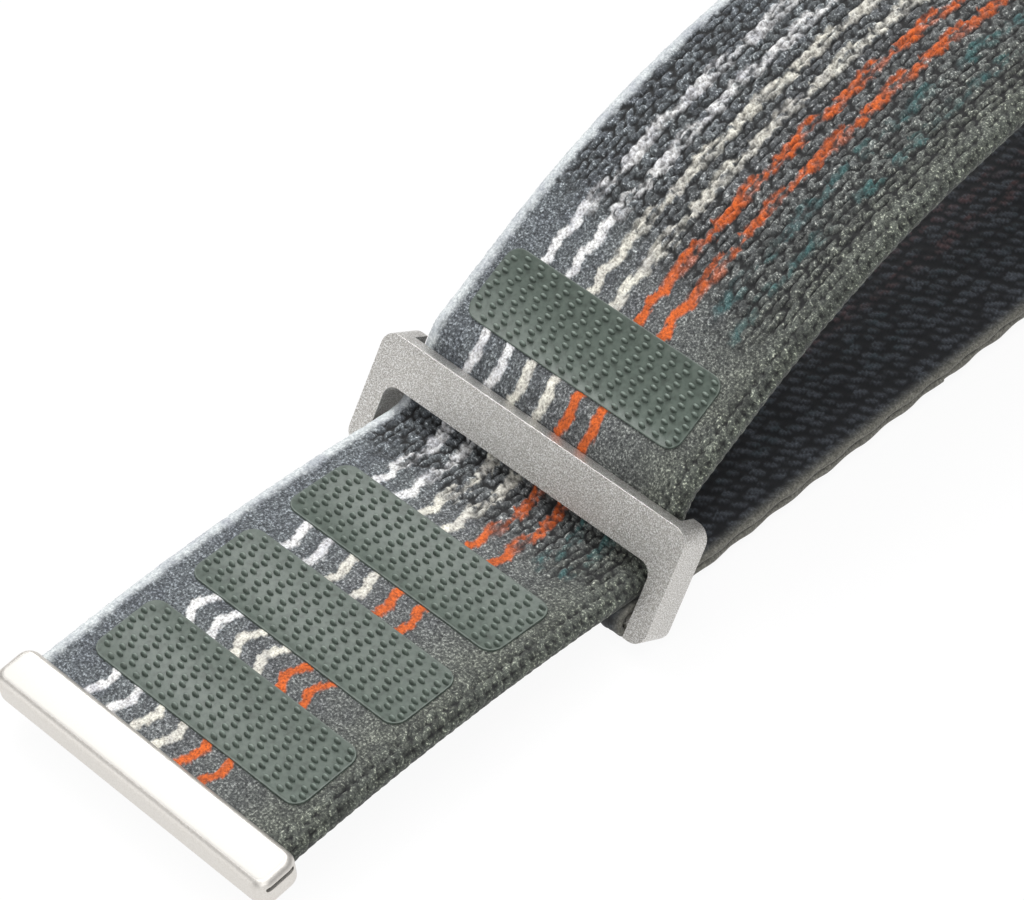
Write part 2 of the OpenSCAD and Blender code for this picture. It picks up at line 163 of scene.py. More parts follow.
@dataclass(frozen=True)
class Finish:
    """A finish of the object, which becomes one material."""

    name: str

    def make(self) -> bpy.types.Material:
        """Build the material.

        Returns:
            The material.
        """
        made = bpy.data.materials.new(self.name)
        made.use_nodes = True
        made.node_tree.nodes.clear()
        nodes = Nodes(made.node_tree)
        nodes.add("OutputMaterial", {"Surface": self.surface(nodes)})
        return made

    def surface(self, nodes: Nodes) -> bpy.types.NodeSocket:
        """Add the finish's own nodes and give its shader's output."""
        raise NotImplementedError


@dataclass(frozen=True)
class LoopWebbing(Finish):
    """Woven nylon with a brushed loop face.

    Spun melange yarn shows as salt-and-pepper grain about 0.15 mm across, the brushed pile
    gives a soft sheen, and dyed yarns are laid in as stripes.
    """

    name: str = "nylon_loop_webbing"
    # Painted shade: the colour that the hollows between stitches are darkened towards.
    sunk: str = "#0c0d0f"
    grain_mm: float = 0.15
    cloud_mm: float = 1.25
    half_w: float = 11.0

    def surface(self, nodes: Nodes) -> bpy.types.NodeSocket:
        """Mix pile, open knit, pale edge and dyed yarns by the cloth's own masks, and darken the
        hollows between stitches with painted shade.

        Args:
            nodes: The material's nodes.

        Returns:
            The shader's output.
        """
        lay = nodes.add("Attribute", out="Vector", attribute_name="lay")
        across = nodes.add("SeparateXYZ", {"Vector": lay}, "X")
        fine = nodes.add("TexNoise", {"Vector": lay, "Scale": 1 / self.grain_mm,
                                      "Detail": 2.0, "Roughness": 0.7})
        broad = nodes.add("TexNoise", {"Vector": lay, "Scale": 1 / self.cloud_mm,
                                       "Detail": 3.0})
        knit, tone, deep, stripe, yarn, pale = (
            nodes.add("Attribute", out="Fac", attribute_name=label)
            for label in ("knit", "tone", "deep", "stripe", "yarn", "pale"))
        brushed = nodes.add("ValToRGB", {"Fac": fine}, stops=[
            (0.3, "#222326"), (0.45, "#55585b"), (0.56, "#727577"), (0.72, "#c9cccf")])
        # The open knit's grain; its top stops, up to white, are painted glints on the fibres.
        looped = nodes.add("ValToRGB", {"Fac": fine}, stops=[
            (0.28, "#2f3235"), (0.48, "#5c5f62"), (0.6, "#7d8082"), (0.67, "#cbced0"),
            (0.73, "#ffffff")])
        grain = nodes.add("Mix", {"Factor": knit, MIX_A: brushed, MIX_B: looped}, MIX_OUT,
                          data_type="RGBA")
        share = nodes.add("MapRange", {"Value": across, "From Min": -self.half_w,
                                       "From Max": self.half_w})
        tint = nodes.add("ValToRGB", {"Fac": share}, stops=[
            (0.0, "#e4e8ee"), (0.1, "#dde3e9"), (0.3, "#dee2e4"), (0.5, "#dadada"),
            (0.75, "#d8d9d2"), (0.9, "#cfd1c1"), (1.0, "#c9ceba")])
        tinted = nodes.add("Mix", {"Factor": 1.0, MIX_A: grain, MIX_B: tint}, MIX_OUT,
                           data_type="RGBA", blend_type="MULTIPLY")
        each = nodes.add("MapRange", {"Value": tone, "From Min": -1.0, "From Max": 1.0,
                                      "To Min": 0.62, "To Max": 1.38})
        toned = nodes.add("VectorMath", {0: tinted, "Scale": each}, operation="SCALE")
        # The pale left edge: pale grey yarn, painted brighter towards the edge as a highlight
        # from light behind.
        fluff = nodes.add("ValToRGB", {"Fac": fine}, stops=[
            (0.3, "#9ba1a6"), (0.5, "#bec3c7"), (0.7, "#dadddf")])
        edged = nodes.add("Mix", {"Factor": pale, MIX_A: toned, MIX_B: fluff}, MIX_OUT,
                          data_type="RGBA")
        dyed = nodes.add("ValToRGB", {"Fac": yarn}, hard=True, stops=[
            (0.0, "#f3f4f7"), (0.3, "#e8e6dd"), (0.55, "#d9641f"), (0.8, "#2f6a6c")])
        strands = nodes.add("ValToRGB", {"Fac": fine}, stops=[
            (0.3, "#6b6766"), (0.46, "#d0cdca"), (0.62, "#ffffff")])
        fibre = nodes.add("Mix", {"Factor": 0.8, MIX_A: dyed, MIX_B: strands}, MIX_OUT,
                          data_type="RGBA", blend_type="MULTIPLY")
        striped = nodes.add("Mix", {"Factor": stripe, MIX_A: edged, MIX_B: fibre}, MIX_OUT,
                            data_type="RGBA")
        # Painted shade: darken the hollows between stitches by the deep mask.
        shaded = nodes.add("Mix", {"Factor": deep, MIX_A: striped, MIX_B: linear(self.sunk)},
                           MIX_OUT, data_type="RGBA")
        clouds = nodes.add("ValToRGB", {"Fac": broad}, stops=[
            (0.3, "#bcbcc2"), (0.6, "#fbfbf6")])
        colour = nodes.add("Mix", {"Factor": 0.6, MIX_A: shaded, MIX_B: clouds}, MIX_OUT,
                           data_type="RGBA", blend_type="MULTIPLY")
        bump = nodes.add("Bump", {"Height": fine, "Strength": 0.7, "Distance": 0.06 * MM})
        return nodes.add("BsdfPrincipled", {
            "Base Color": colour, "Roughness": 0.84, "Sheen Weight": 0.08,
            "Sheen Roughness": 0.5, "Normal": bump})


@dataclass(frozen=True)
class PlainWebbing(Finish):
    """Tightly woven dark nylon, the inner face of the short strap.

    A flat rib weave of filament yarn, nearly black, with faint dyed lines and a dull gloss.
    """

    name: str = "nylon_rib_weave"
    # Painted shade: the colour that the hollows between the rib's leaves are darkened towards.
    sunk: str = "#14161b"
    grain_mm: float = 1 / 6

    def surface(self, nodes: Nodes) -> bpy.types.NodeSocket:
        """Mix the dark yarn, the dyed lines and the paler edges by the cloth's own masks, and
        darken the hollows between the rib's leaves with painted shade.

        Args:
            nodes: The material's nodes.

        Returns:
            The shader's output.
        """
        lay = nodes.add("Attribute", out="Vector", attribute_name="lay")
        fine = nodes.add("TexNoise", {"Vector": lay, "Scale": 1 / self.grain_mm,
                                      "Detail": 3.0, "Roughness": 0.7})
        deep, stripe, yarn, pale = (nodes.add("Attribute", out="Fac", attribute_name=label)
                                    for label in ("deep", "stripe", "yarn", "pale"))
        base = nodes.add("ValToRGB", {"Fac": fine}, stops=[
            (0.3, "#31353b"), (0.55, "#4b5058"), (0.75, "#6c727a")])
        dyed = nodes.add("ValToRGB", {"Fac": yarn}, hard=True, stops=[
            (0.0, "#5b5e66"), (0.3, "#56544f"), (0.55, "#6b2f22"), (0.8, "#21454a")])
        striped = nodes.add("Mix", {"Factor": stripe, MIX_A: base, MIX_B: dyed}, MIX_OUT,
                            data_type="RGBA")
        # Painted shade: darken the hollows between the leaves by the deep mask.
        shaded = nodes.add("Mix", {"Factor": deep, MIX_A: striped, MIX_B: linear(self.sunk)},
                           MIX_OUT, data_type="RGBA")
        # The paler edges: the edge yarn's own olive grey, painted lighter as a highlight where
        # the edge catches light.
        tone_with_painted_light = nodes.add("ValToRGB", {"Fac": fine}, stops=[
            (0.3, "#46443f"), (0.5, "#68675f"), (0.7, "#8c8a82")])
        edged = nodes.add("Mix", {"Factor": pale, MIX_A: shaded, MIX_B: tone_with_painted_light}, MIX_OUT,
                          data_type="RGBA")
        bump = nodes.add("Bump", {"Height": fine, "Strength": 0.5, "Distance": 0.05 * MM})
        return nodes.add("BsdfPrincipled", {
            "Base Color": edged, "Roughness": 0.8, "Sheen Weight": 0.15, "Normal": bump})


@dataclass(frozen=True)
class MouldedHook(Finish):
    """Injection moulded TPU hook tape.

    Grey-green plastic: the plate is matt. The studs carry painted light and shade: lighter on
    the side that faces up the strap and darker on the other.
    """

    name: str = "moulded_tpu_hook"
    color: str = "#6d7971"
    grain_mm: float = 1 / 2.2

    def surface(self, nodes: Nodes) -> bpy.types.NodeSocket:
        """Speckle the plastic and paint light and shade onto the studs' two sides.

        Args:
            nodes: The material's nodes.

        Returns:
            The shader's output.
        """
        place = nodes.add("TexCoord", out="Object")
        speck = nodes.add("TexNoise", {"Vector": place, "Scale": 1 / (self.grain_mm * MM),
                                       "Detail": 3.0, "Roughness": 0.6})
        tone = nodes.add("ValToRGB", {"Fac": speck}, stops=[
            (0.3, "#5b645d"), (0.5, self.color), (0.72, "#79837b")])
        # Painted light and shade: the tip value lightens each stud's upper side and darkens its
        # lower side.
        tip = nodes.add("Attribute", out="Fac", attribute_name="tip")
        side = nodes.add("ValToRGB", {"Fac": tip}, stops=[
            (0.05, "#9da39e"), (0.4, "#bcbfbc"), (0.75, "#ffffff")])
        tone_with_painted_light = nodes.add("VectorMath", {0: tone, 1: side}, operation="MULTIPLY")
        bump = nodes.add("Bump", {"Height": speck, "Strength": 0.25, "Distance": 0.03 * MM})
        return nodes.add("BsdfPrincipled", {
            "Base Color": tone_with_painted_light, "Roughness": 0.5, "IOR": 1.5, "Normal": bump})


@dataclass(frozen=True)
class Steel(Finish):
    """Stainless steel, finished in one of several ways.

    Bead blasting leaves a fine sparkling grain, polishing leaves a clear narrow highlight, and
    turning leaves faint rings. Fleck is how much of the grain shows in the colour.
    """

    color: str
    roughness: float
    grain_mm: float
    strength: float
    fleck: float = 0.2

    def surface(self, nodes: Nodes) -> bpy.types.NodeSocket:
        """Let one grain drive the metal's colour, roughness and bump.

        Args:
            nodes: The material's nodes.

        Returns:
            The shader's output.
        """
        place = nodes.add("TexCoord", out="Object")
        grit = nodes.add("TexNoise", {"Vector": place, "Scale": 1 / (self.grain_mm * MM),
                                      "Detail": 2.0, "Roughness": 0.6})
        shade = nodes.add("ValToRGB", {"Fac": grit}, stops=[
            (0.36, "#98948f"), (0.5, self.color), (0.62, "#ffffff")])
        tone = nodes.add("Mix", {"Factor": self.fleck, MIX_A: linear(self.color),
                                 MIX_B: shade}, MIX_OUT, data_type="RGBA")
        rough = nodes.add("MapRange", {"Value": grit, "To Min": self.roughness - 0.06,
                                       "To Max": self.roughness + 0.08})
        bump = nodes.add("Bump", {"Height": grit, "Strength": self.strength,
                                  "Distance": 0.05 * MM})
        return nodes.add("BsdfPrincipled", {
            "Base Color": tone, "Roughness": rough, "Metallic": 1.0, "Normal": bump})


@dataclass(frozen=True)
class Thread(Finish):
    """Bonded polyester sewing thread, three twisted plies with a slight gloss."""

    name: str = "polyester_thread"
    color: str = "#3c3f45"
    twist_scale: float = 1100.0

    def surface(self, nodes: Nodes) -> bpy.types.NodeSocket:
        """Lay the twist across the thread as slanting bands.

        Args:
            nodes: The material's nodes.

        Returns:
            The shader's output.
        """
        place = nodes.add("TexCoord", out="Object")
        twist = nodes.add("TexWave", {"Vector": place, "Scale": self.twist_scale,
                                      "Distortion": 1.0}, "Fac",
                          wave_type="BANDS", bands_direction="DIAGONAL")
        tone = nodes.add("ValToRGB", {"Fac": twist}, stops=[
            (0.0, "#24262b"), (1.0, self.color)])
        return nodes.add("BsdfPrincipled", {"Base Color": tone, "Roughness": 0.6})


@dataclass(frozen=True)
class StudioPaper(Finish):
    """Seamless white paper: matt, and shown to the camera as plain white with its shadow."""

    name: str = "white_paper"
    color: str = "#f4f4f4"
    shadow: float = 0.07

    def surface(self, nodes: Nodes) -> bpy.types.NodeSocket:
        """Mix matt paper with plain white where the camera or a gloss sees it.

        Args:
            nodes: The material's nodes.

        Returns:
            The shader's output.
        """
        paper = nodes.add("BsdfPrincipled", {"Base Color": linear(self.color),
                                             "Roughness": 0.95})
        glow = nodes.add("Emission", {"Color": WHITE, "Strength": 1.0})
        seen = nodes.add("Math", {0: nodes.add("LightPath", out="Is Camera Ray"),
                                  1: nodes.add("LightPath", out="Is Glossy Ray")},
                         operation="MAXIMUM")
        share = nodes.add("Math", {0: seen, 1: 1.0 - self.shadow}, operation="MULTIPLY")
        return nodes.add("MixShader", {0: share, 1: paper, 2: glow})


class Bench:
    """The modelling steps that every piece shares. Pieces are modelled in millimetres."""

    @staticmethod
    def clear() -> None:
        """Leave edit mode and deselect everything."""
        if bpy.context.object and bpy.context.object.mode != "OBJECT":
            bpy.ops.object.mode_set(mode="OBJECT")
        bpy.ops.object.select_all(action="DESELECT")

    @staticmethod
    def hold(piece: bpy.types.Object) -> None:
        """Select one object and make it the active one.

        Args:
            piece: The object to hold.
        """
        Bench.clear()
        piece.select_set(True)
        bpy.context.view_layer.objects.active = piece

    @staticmethod
    def pick(piece: bpy.types.Object, test: Test, mode: Element = Element.FACE) -> None:
        """Enter edit mode with only the faces or edges selected that pass a test.

        Args:
            piece: The object.
            test: Takes an element's middle and its normal (for an edge, its direction).
            mode: Whether faces or edges are selected.
        """
        Bench.hold(piece)
        mesh = piece.data
        bpy.ops.object.mode_set(mode="EDIT")
        bpy.ops.mesh.select_mode(type=mode.value)
        bpy.ops.mesh.select_all(action="DESELECT")
        bpy.ops.object.mode_set(mode="OBJECT")
        if mode is Element.FACE:
            for face in mesh.polygons:
                face.select = test(face.center, face.normal)
        else:
            for edge in mesh.edges:
                a, b = (mesh.vertices[k].co for k in edge.vertices)
                edge.select = test((a + b) / 2, (b - a).normalized())
        bpy.ops.object.mode_set(mode="EDIT")

    @staticmethod
    def block(name: str, low: Sequence[float], high: Sequence[float]) -> bpy.types.Object:
        """Add a block between two corners.

        Args:
            name: The object's name.
            low: Its lowest corner, mm.
            high: Its highest corner, mm.

        Returns:
            The new object, with its size applied.
        """
        Bench.clear()
        mid = [(a + b) / 2 for a, b in zip(low, high)]
        bpy.ops.mesh.primitive_cube_add(size=1, location=mid)
        made = bpy.context.object
        made.name = name
        made.scale = [b - a for a, b in zip(low, high)]
        Bench.apply_place(made)
        return made

    @staticmethod
    def apply_place(piece: bpy.types.Object) -> None:
        """Move an object's place, turn and size into its mesh."""
        Bench.hold(piece)
        bpy.ops.object.transform_apply(location=True, rotation=True, scale=True)

    @staticmethod
    def apply_all(piece: bpy.types.Object) -> None:
        """Apply every modifier of an object.

        Args:
            piece: The object.
        """
        Bench.hold(piece)
        for step in list(piece.modifiers):
            bpy.ops.object.modifier_apply(modifier=step.name)

    @staticmethod
    def carve(piece: bpy.types.Object, tool: bpy.types.Object, how: Carve = Carve.CUT) -> None:
        """Cut or join one object with another, which is then removed.

        Args:
            piece: The object that stays.
            tool: The object that is used up.
            how: Whether the tool is cut out or joined on.
        """
        step = piece.modifiers.new("carve", "BOOLEAN")
        step.operation = how.value
        step.solver = "EXACT"
        step.object = tool
        Bench.apply_all(piece)
        bpy.data.objects.remove(tool, do_unlink=True)

    @staticmethod
    def round_edges(piece: bpy.types.Object, radius: float, segments: int,
                    test: Test) -> None:
        """Round the edges that pass a test.

        Args:
            piece: The object.
            radius: Radius of the round, mm.
            segments: Facets across the round.
            test: Takes an edge's middle and direction.
        """
        Bench.pick(piece, test, Element.EDGE)
        bpy.ops.mesh.bevel(offset=radius, segments=segments, affect="EDGES",
                           offset_type="OFFSET")
        bpy.ops.object.mode_set(mode="OBJECT")

    @staticmethod
    def soften(piece: bpy.types.Object, radius: float, segments: int, angle: float,
               slot: int = -1) -> None:
        """Round every sharp edge with a bevel modifier.

        Args:
            piece: The object.
            radius: Width of the bevel, mm.
            segments: Facets across it.
            angle: Edges sharper than this, in degrees, are rounded.
            slot: Material slot of the new faces, or -1 to take the neighbours'.
        """
        step = piece.modifiers.new("soften", "BEVEL")
        step.width = radius
        step.segments = segments
        step.limit_method = "ANGLE"
        step.angle_limit = math.radians(angle)
        step.material = slot
        step.harden_normals = False
        Bench.apply_all(piece)

    @staticmethod
    def join(name: str, parts: Sequence[bpy.types.Object]) -> bpy.types.Object:
        """Join objects into one.

        Args:
            name: Name of the joined object.
            parts: The objects.

        Returns:
            The joined object.
        """
        Bench.clear()
        for part in parts:
            part.select_set(True)
        bpy.context.view_layer.objects.active = parts[0]
        bpy.ops.object.join()
        made = bpy.context.object
        made.name = name
        return made

    @staticmethod
    def copy(piece: bpy.types.Object, place: Matrix) -> bpy.types.Object:
        """Copy an object with its own mesh, placed by a matrix.

        Args:
            piece: The object to copy.
            place: Where the copy's mesh goes.

        Returns:
            The copy.
        """
        twin = piece.copy()
        twin.data = piece.data.copy()
        twin.data.transform(place)
        bpy.context.scene.collection.objects.link(twin)
        return twin

    @staticmethod
    def finish(piece: bpy.types.Object, name: str, finishes: Sequence[bpy.types.Material],
               smooth: float) -> None:
        """Bring a piece from millimetres to its place in metres, smooth it and dress it.

        Args:
            piece: The object.
            name: Its final name.
            finishes: Materials for its slots.
            smooth: Angle below which edges are shaded smooth, degrees.
        """
        Bench.hold(piece)
        piece.name = name
        piece.data.name = name
        piece.scale = (MM, MM, MM)
        Bench.apply_place(piece)
        bpy.ops.object.shade_smooth_by_angle(angle=math.radians(smooth))
        marks = [face.material_index for face in piece.data.polygons]
        piece.data.materials.clear()
        for finish in finishes:
            piece.data.materials.append(finish)
        if max(marks) < len(finishes):
            piece.data.polygons.foreach_set("material_index", marks)

    @staticmethod
    def settle(piece: bpy.types.Object, slot: str, body: str, node: str) -> None:
        """Attach a rigid piece to the body that it rides on and hide the solid that it stands
        for.

        Args:
            piece: The finished piece.
            slot: Not used.
            body: The body that it rides on.
            node: The solid that it replaces.
        """
        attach(piece, body)
        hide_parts(node)
        log.info("%s: %d faces", piece.name, len(piece.data.polygons))

    @staticmethod
    def dress(finish: Finish, test: Callable[[str], bool]) -> None:
        """Give the solids that show as they are their finish.

        Args:
            finish: The finish.
            test: Takes a solid's name and says whether it takes the finish.
        """
        made = finish.make()
        for name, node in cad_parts.items():
            if test(name):
                node.data.materials.clear()
                node.data.materials.append(made)
                log.info("%s: %s", name, finish.name)


@dataclass
class StrapPath:
    """A strap's middle line in the Y-Z plane: straight runs and arcs from a start pose.

    A step is (length, 0) or (radius, turn in degrees), all in millimetres.
    """

    start: Pose
    steps: Sequence[Step]

    @staticmethod
    def go(p: Pose, step: Step) -> Pose:
        """Follow one step from a pose.

        Args:
            p: The pose: y, z and heading in degrees.
            step: The step.

        Returns:
            The pose at the step's end.
        """
        y, z, h = p
        size, turn = step
        a = math.radians(h)
        if turn == 0:
            return (y + size * math.cos(a), z + size * math.sin(a), h)
        side = math.copysign(size, turn)
        b = math.radians(h + turn)
        return (y + side * (math.sin(b) - math.sin(a)), z + side * (math.cos(a) - math.cos(b)),
                h + turn)

    @staticmethod
    def span(step: Step) -> float:
        """The length of one step."""
        return step[0] if step[1] == 0 else step[0] * abs(math.radians(step[1]))

    def length(self) -> float:
        """The path's whole length."""
        return sum(self.span(s) for s in self.steps)

    def at(self, s: np.ndarray) -> tuple[np.ndarray, np.ndarray, np.ndarray]:
        """Poses at distances along the path.

        Args:
            s: Distances from the start, mm.

        Returns:
            Arrays of y, z and heading in radians.
        """
        out = np.zeros((3, len(s)))
        pose, done = self.start, 0.0
        for k, step in enumerate(self.steps):
            size = self.span(step)
            last = k == len(self.steps) - 1
            here = (s >= done - 1e-9) & ((s <= done + size) | last)
            if k == 0:
                here |= s < done
            t = s[here] - done
            y, z, h = pose
            a = math.radians(h)
            if step[1] == 0:
                out[0, here] = y + t * math.cos(a)
                out[1, here] = z + t * math.sin(a)
                out[2, here] = a
            else:
                side = math.copysign(step[0], step[1])
                b = a + t / side
                out[0, here] = y + side * (np.sin(b) - math.sin(a))
                out[1, here] = z + side * (math.cos(a) - np.cos(b))
                out[2, here] = b
            pose = self.go(pose, step)
            done += size
        return out[0], out[1], out[2]

    def spot(self, s: float) -> Pose:
        """The pose at one distance, with its heading in radians."""
        y, z, h = (float(v[0]) for v in self.at(np.array([s])))
        return (y, z, h)

    def end(self) -> Pose:
        """The pose at the path's end.

        Returns:
            The pose, with its heading in degrees.
        """
        pose = self.start
        for step in self.steps:
            pose = self.go(pose, step)
        return pose


@dataclass
class Sizes:
    """The sizes that the straps, ring and loops share, mm and degrees, as in the solids."""

    strap_w: float = 22.0
    web_t: float = 1.4
    layer_t: float = 0.6
    tail_arch_r: float = 140.0
    enter_slope: float = 4.5
    bend_r: float = 2.5
    patch_slope: float = 30.0
    rise_r: float = 57.0
    rise_turn: float = 19.0
    crest_r: float = 3.0
    arch_r: float = 50.0
    fall_slope: float = 33.0
    foot_r: float = 30.0
    bend_run: float = 2.0
    lug_flat: float = 7.0
    short_run: float = 60.0
    short_half: float = 29.5
    fold_len: float = 7.0
    patch_w: float = 18.0
    patch_len: float = 5.5
    patch_pitch: float = 8.0
    patch_gap: float = 1.1
    patch_t: float = 0.25
    ring_w: float = 26.0
    ring_gap_w: float = 22.9
    ring_d: float = 2.4
    top_bar_h: float = 3.15
    top_bar_d: float = 1.1
    ring_gap_h: float = 3.6
    low_bar_r: float = 0.65
    ring_lean: float = 30.0
    ring_corner: float = 1.1
    ring_inner_r: float = 0.9
    end_len: float = 3.2
    end_h: float = 2.3
    end_over: float = 0.8
    end_grip: float = 0.7
    tip_gap: float = 2.2
    barrel_r: float = 0.9
    hinge: float = 0.05
    hinge_before: float = 3.7
    bend_clear: float = 0.2
    wrap_clear: float = 0.12
    run_clear: float = 0.05
    over_top: float = 0.55
    loop_turn: float = 25.0
    return_r: float = 3.0
    sewn_in: float = 0.04
    shift_y: float = field(init=False, default=0.0)

    def __post_init__(self) -> None:
        """Work out the paths' fixed points."""
        slope, lean = math.radians(self.enter_slope), math.radians(self.ring_lean)
        self.short_loop_r = self.low_bar_r + self.run_clear + self.layer_t / 2
        self.bar_z = self.short_loop_r + self.layer_t / 2
        self.ring_front = self.ring_d / 2
        self.gap_top = self.low_bar_r + self.ring_gap_h
        self.climb = 90 - self.ring_lean
        enter_h = ((self.short_loop_r + self.layer_t / 2 + self.wrap_clear + self.web_t / 2)
                   / math.cos(slope))
        climb_u = self.top_bar_d - self.ring_front + self.bend_clear + self.web_t / 2
        meet_v = ((enter_h + climb_u * (math.sin(lean) - math.tan(slope) * math.cos(lean)))
                  / (math.cos(lean) + math.tan(slope) * math.sin(lean)))
        tangent = self.bend_r * math.tan(math.radians((self.climb + self.enter_slope) / 2))
        meet = (climb_u * math.cos(lean) + meet_v * math.sin(lean),
                self.bar_z - climb_u * math.sin(lean) + meet_v * math.cos(lean),
                -self.enter_slope)
        start = StrapPath.go(meet, (-tangent, 0))
        self.first_run = (start[0] + self.hinge_before) / math.cos(slope)
        self.hinge_1 = StrapPath.go(start, (-self.first_run, 0))
        self.climb_run = self.gap_top + self.top_bar_h + self.over_top - meet_v - tangent
        self.patch_zone = self.patch_len + self.patch_gap
        self.long_loop_r = self.barrel_r + self.run_clear + self.web_t / 2
        self.short_lug_r = self.barrel_r + self.run_clear + self.layer_t / 2
        self.tip_run = (self.patch_pitch / 2 + self.patch_len / 2 + self.tip_gap
                        + self.end_len - self.end_grip)
        self.crest_s = (self.tip_run + 2 * self.patch_pitch + self.first_run
                        + StrapPath.span((self.bend_r, self.climb + self.enter_slope))
                        + self.climb_run
                        + StrapPath.span((self.crest_r, self.climb - self.patch_slope)))
        y_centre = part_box("long_lug_length")[1].y / MM
        lug_y = self.long_path().spot(self.lug_s)[0]
        self.shift_y = y_centre - (lug_y + self.long_loop_r + self.web_t / 2)

    def long_path(self) -> StrapPath:
        """The long strap's middle line from the tail's tip to the end of its folded lug layer.

        Returns:
            The path. Its length up to the lug loop is kept as lug_s.
        """
        first: Pose = (self.hinge_1[0], self.hinge_1[1], 180 - self.enter_slope)
        tail = 2 * self.patch_pitch + self.tip_run
        tail_turn = math.degrees(tail / self.tail_arch_r)
        tip = StrapPath.go(first, (self.tail_arch_r, tail_turn))
        start = (tip[0] + self.shift_y, tip[1], tip[2] - 180)
        bend = (self.bend_run + self.web_t / 2 + self.hinge, 0)
        steps = [(self.tail_arch_r, -tail_turn), (self.first_run, 0),
                 (self.bend_r, self.climb + self.enter_slope), (self.climb_run, 0),
                 (self.crest_r, self.patch_slope - self.climb), (self.patch_zone, 0),
                 (self.rise_r, -self.rise_turn), bend,
                 (self.arch_r, -(self.patch_slope - self.rise_turn + self.fall_slope)), bend]
        lug_start = StrapPath(start, steps).end()
        foot_z = 2 * self.long_loop_r + self.web_t / 2
        drop = self.foot_r * (1 - math.cos(math.radians(self.fall_slope)))
        fall = (lug_start[1] - foot_z - drop) / math.sin(math.radians(self.fall_slope))
        steps += [(fall, 0), (self.foot_r, self.fall_slope), (self.fold_len + self.lug_flat, 0)]
        self.lug_s = sum(StrapPath.span(s) for s in steps)
        return StrapPath(start, steps + self.loop())

    def loop(self) -> list[Step]:
        """Steps of the long strap down round its spring bar and back flat against itself.

        Returns:
            The path steps.
        """
        b = math.radians(self.loop_turn)
        radius = self.long_loop_r
        back = (2 * radius - self.web_t + self.sewn_in
                - (radius + self.return_r) * (1 - math.cos(b))) / math.sin(b)
        return [(radius, -(180 + self.loop_turn)), (back, 0),
                (self.return_r, self.loop_turn), (self.fold_len, 0)]

    def eye(self, radius: float, run: float) -> list[Step]:
        """Steps of one layer out to a bar, round it and back in the other layer.

        Args:
            radius: Radius of the layer's middle line round the bar.
            run: Straight length before and after the eye.

        Returns:
            The path steps.
        """
        b = math.radians(self.loop_turn)
        leg = ((radius - self.layer_t / 2 - (radius + self.return_r) * (1 - math.cos(b)))
               / math.sin(b))
        run -= leg * math.cos(b) + (radius + self.return_r) * math.sin(b)
        return [(run, 0), (self.return_r, self.loop_turn), (leg, 0),
                (radius, -180 - 2 * self.loop_turn), (leg, 0),
                (self.return_r, self.loop_turn), (run, 0)]

    def short_path(self) -> tuple[StrapPath, float]:
        """The middle line of the doubled short strap's one layer, once round both bars.

        It starts half-way along in the lower layer and runs to the ring first.

        Returns:
            The path and the distance along it where the upper layer is half-way along.
        """
        half = self.short_half
        rise = math.degrees(math.asin((self.short_lug_r - self.short_loop_r) / self.short_run))
        y, z, _ = StrapPath.go((self.shift_y, self.bar_z, rise), (half, 0))
        a = math.radians(rise + 180)
        start = (y - self.layer_t / 2 * math.sin(a), z + self.layer_t / 2 * math.cos(a),
                 rise + 180)
        first = self.eye(self.short_loop_r, half)
        second = self.eye(self.short_lug_r, self.short_run - half)
        return StrapPath(start, first + second), sum(StrapPath.span(p) for p in first)

    def ring_place(self) -> Matrix:
        """The matrix that leans a ring drawn upright round its lower bar."""
        return (Matrix.Translation((0, self.shift_y, self.bar_z))
                @ Matrix.Rotation(-math.radians(self.ring_lean), 4, "X"))

    def place(self, path: StrapPath, s: float, n: float = 0.0, x: float = 0.0) -> Matrix:
        """The matrix that puts a piece drawn flat (X across, Y along, Z up) onto a strap.

        Args:
            path: The strap's path.
            s: Distance along it.
            n: Height over the middle line.
            x: Shift across.

        Returns:
            The placing matrix.
        """
        y, z, h = path.spot(s)
        return (Matrix.Translation((x, y - n * math.sin(h), z + n * math.cos(h)))
                @ Matrix.Rotation(h, 4, "X"))


# Where each dyed yarn runs, mm from the long strap's middle.
STRIPES: tuple[tuple[float, Yarn], ...] = (
    (-6.8, Yarn.WHITE), (-4.8, Yarn.WHITE), (-2.8, Yarn.CREAM), (-0.8, Yarn.CREAM),
    (1.2, Yarn.ORANGE), (3.2, Yarn.ORANGE), (5.2, Yarn.TEAL), (7.15, Yarn.TEAL))


@dataclass(frozen=True)
class StitchPlan:
    """How one kind of stitch is laid, in mm across and along the strap.

    A stitch leans by slant over one column, in stitches. It fills the share thin of its room
    and strays from its place by the share uneven. With legs, each two columns lean together,
    as the legs of knit stitches do. Stagger shifts every second column, in stitches, and a
    groove parts the pairs.
    """

    across: float
    along: float
    slant: float
    thin: float
    uneven: float
    legs: bool = False
    stagger: float = 0.5
    groove: float = 0.0


OPEN_KNIT = StitchPlan(across=0.505, along=0.92, slant=0.42, thin=0.86, uneven=0.38,
                       legs=True, stagger=0.1, groove=0.5)
BRAID = StitchPlan(across=0.72, along=0.75, slant=0.8, thin=1.0, uneven=0.1)
RIB = StitchPlan(across=1.0, along=0.85, slant=-0.8, thin=0.6, uneven=0.5)


class Stitch(NamedTuple):
    """The stitch found at each place: its dome, its own tone and its middle."""

    dome: np.ndarray
    tone: np.ndarray
    w: np.ndarray
    s: np.ndarray


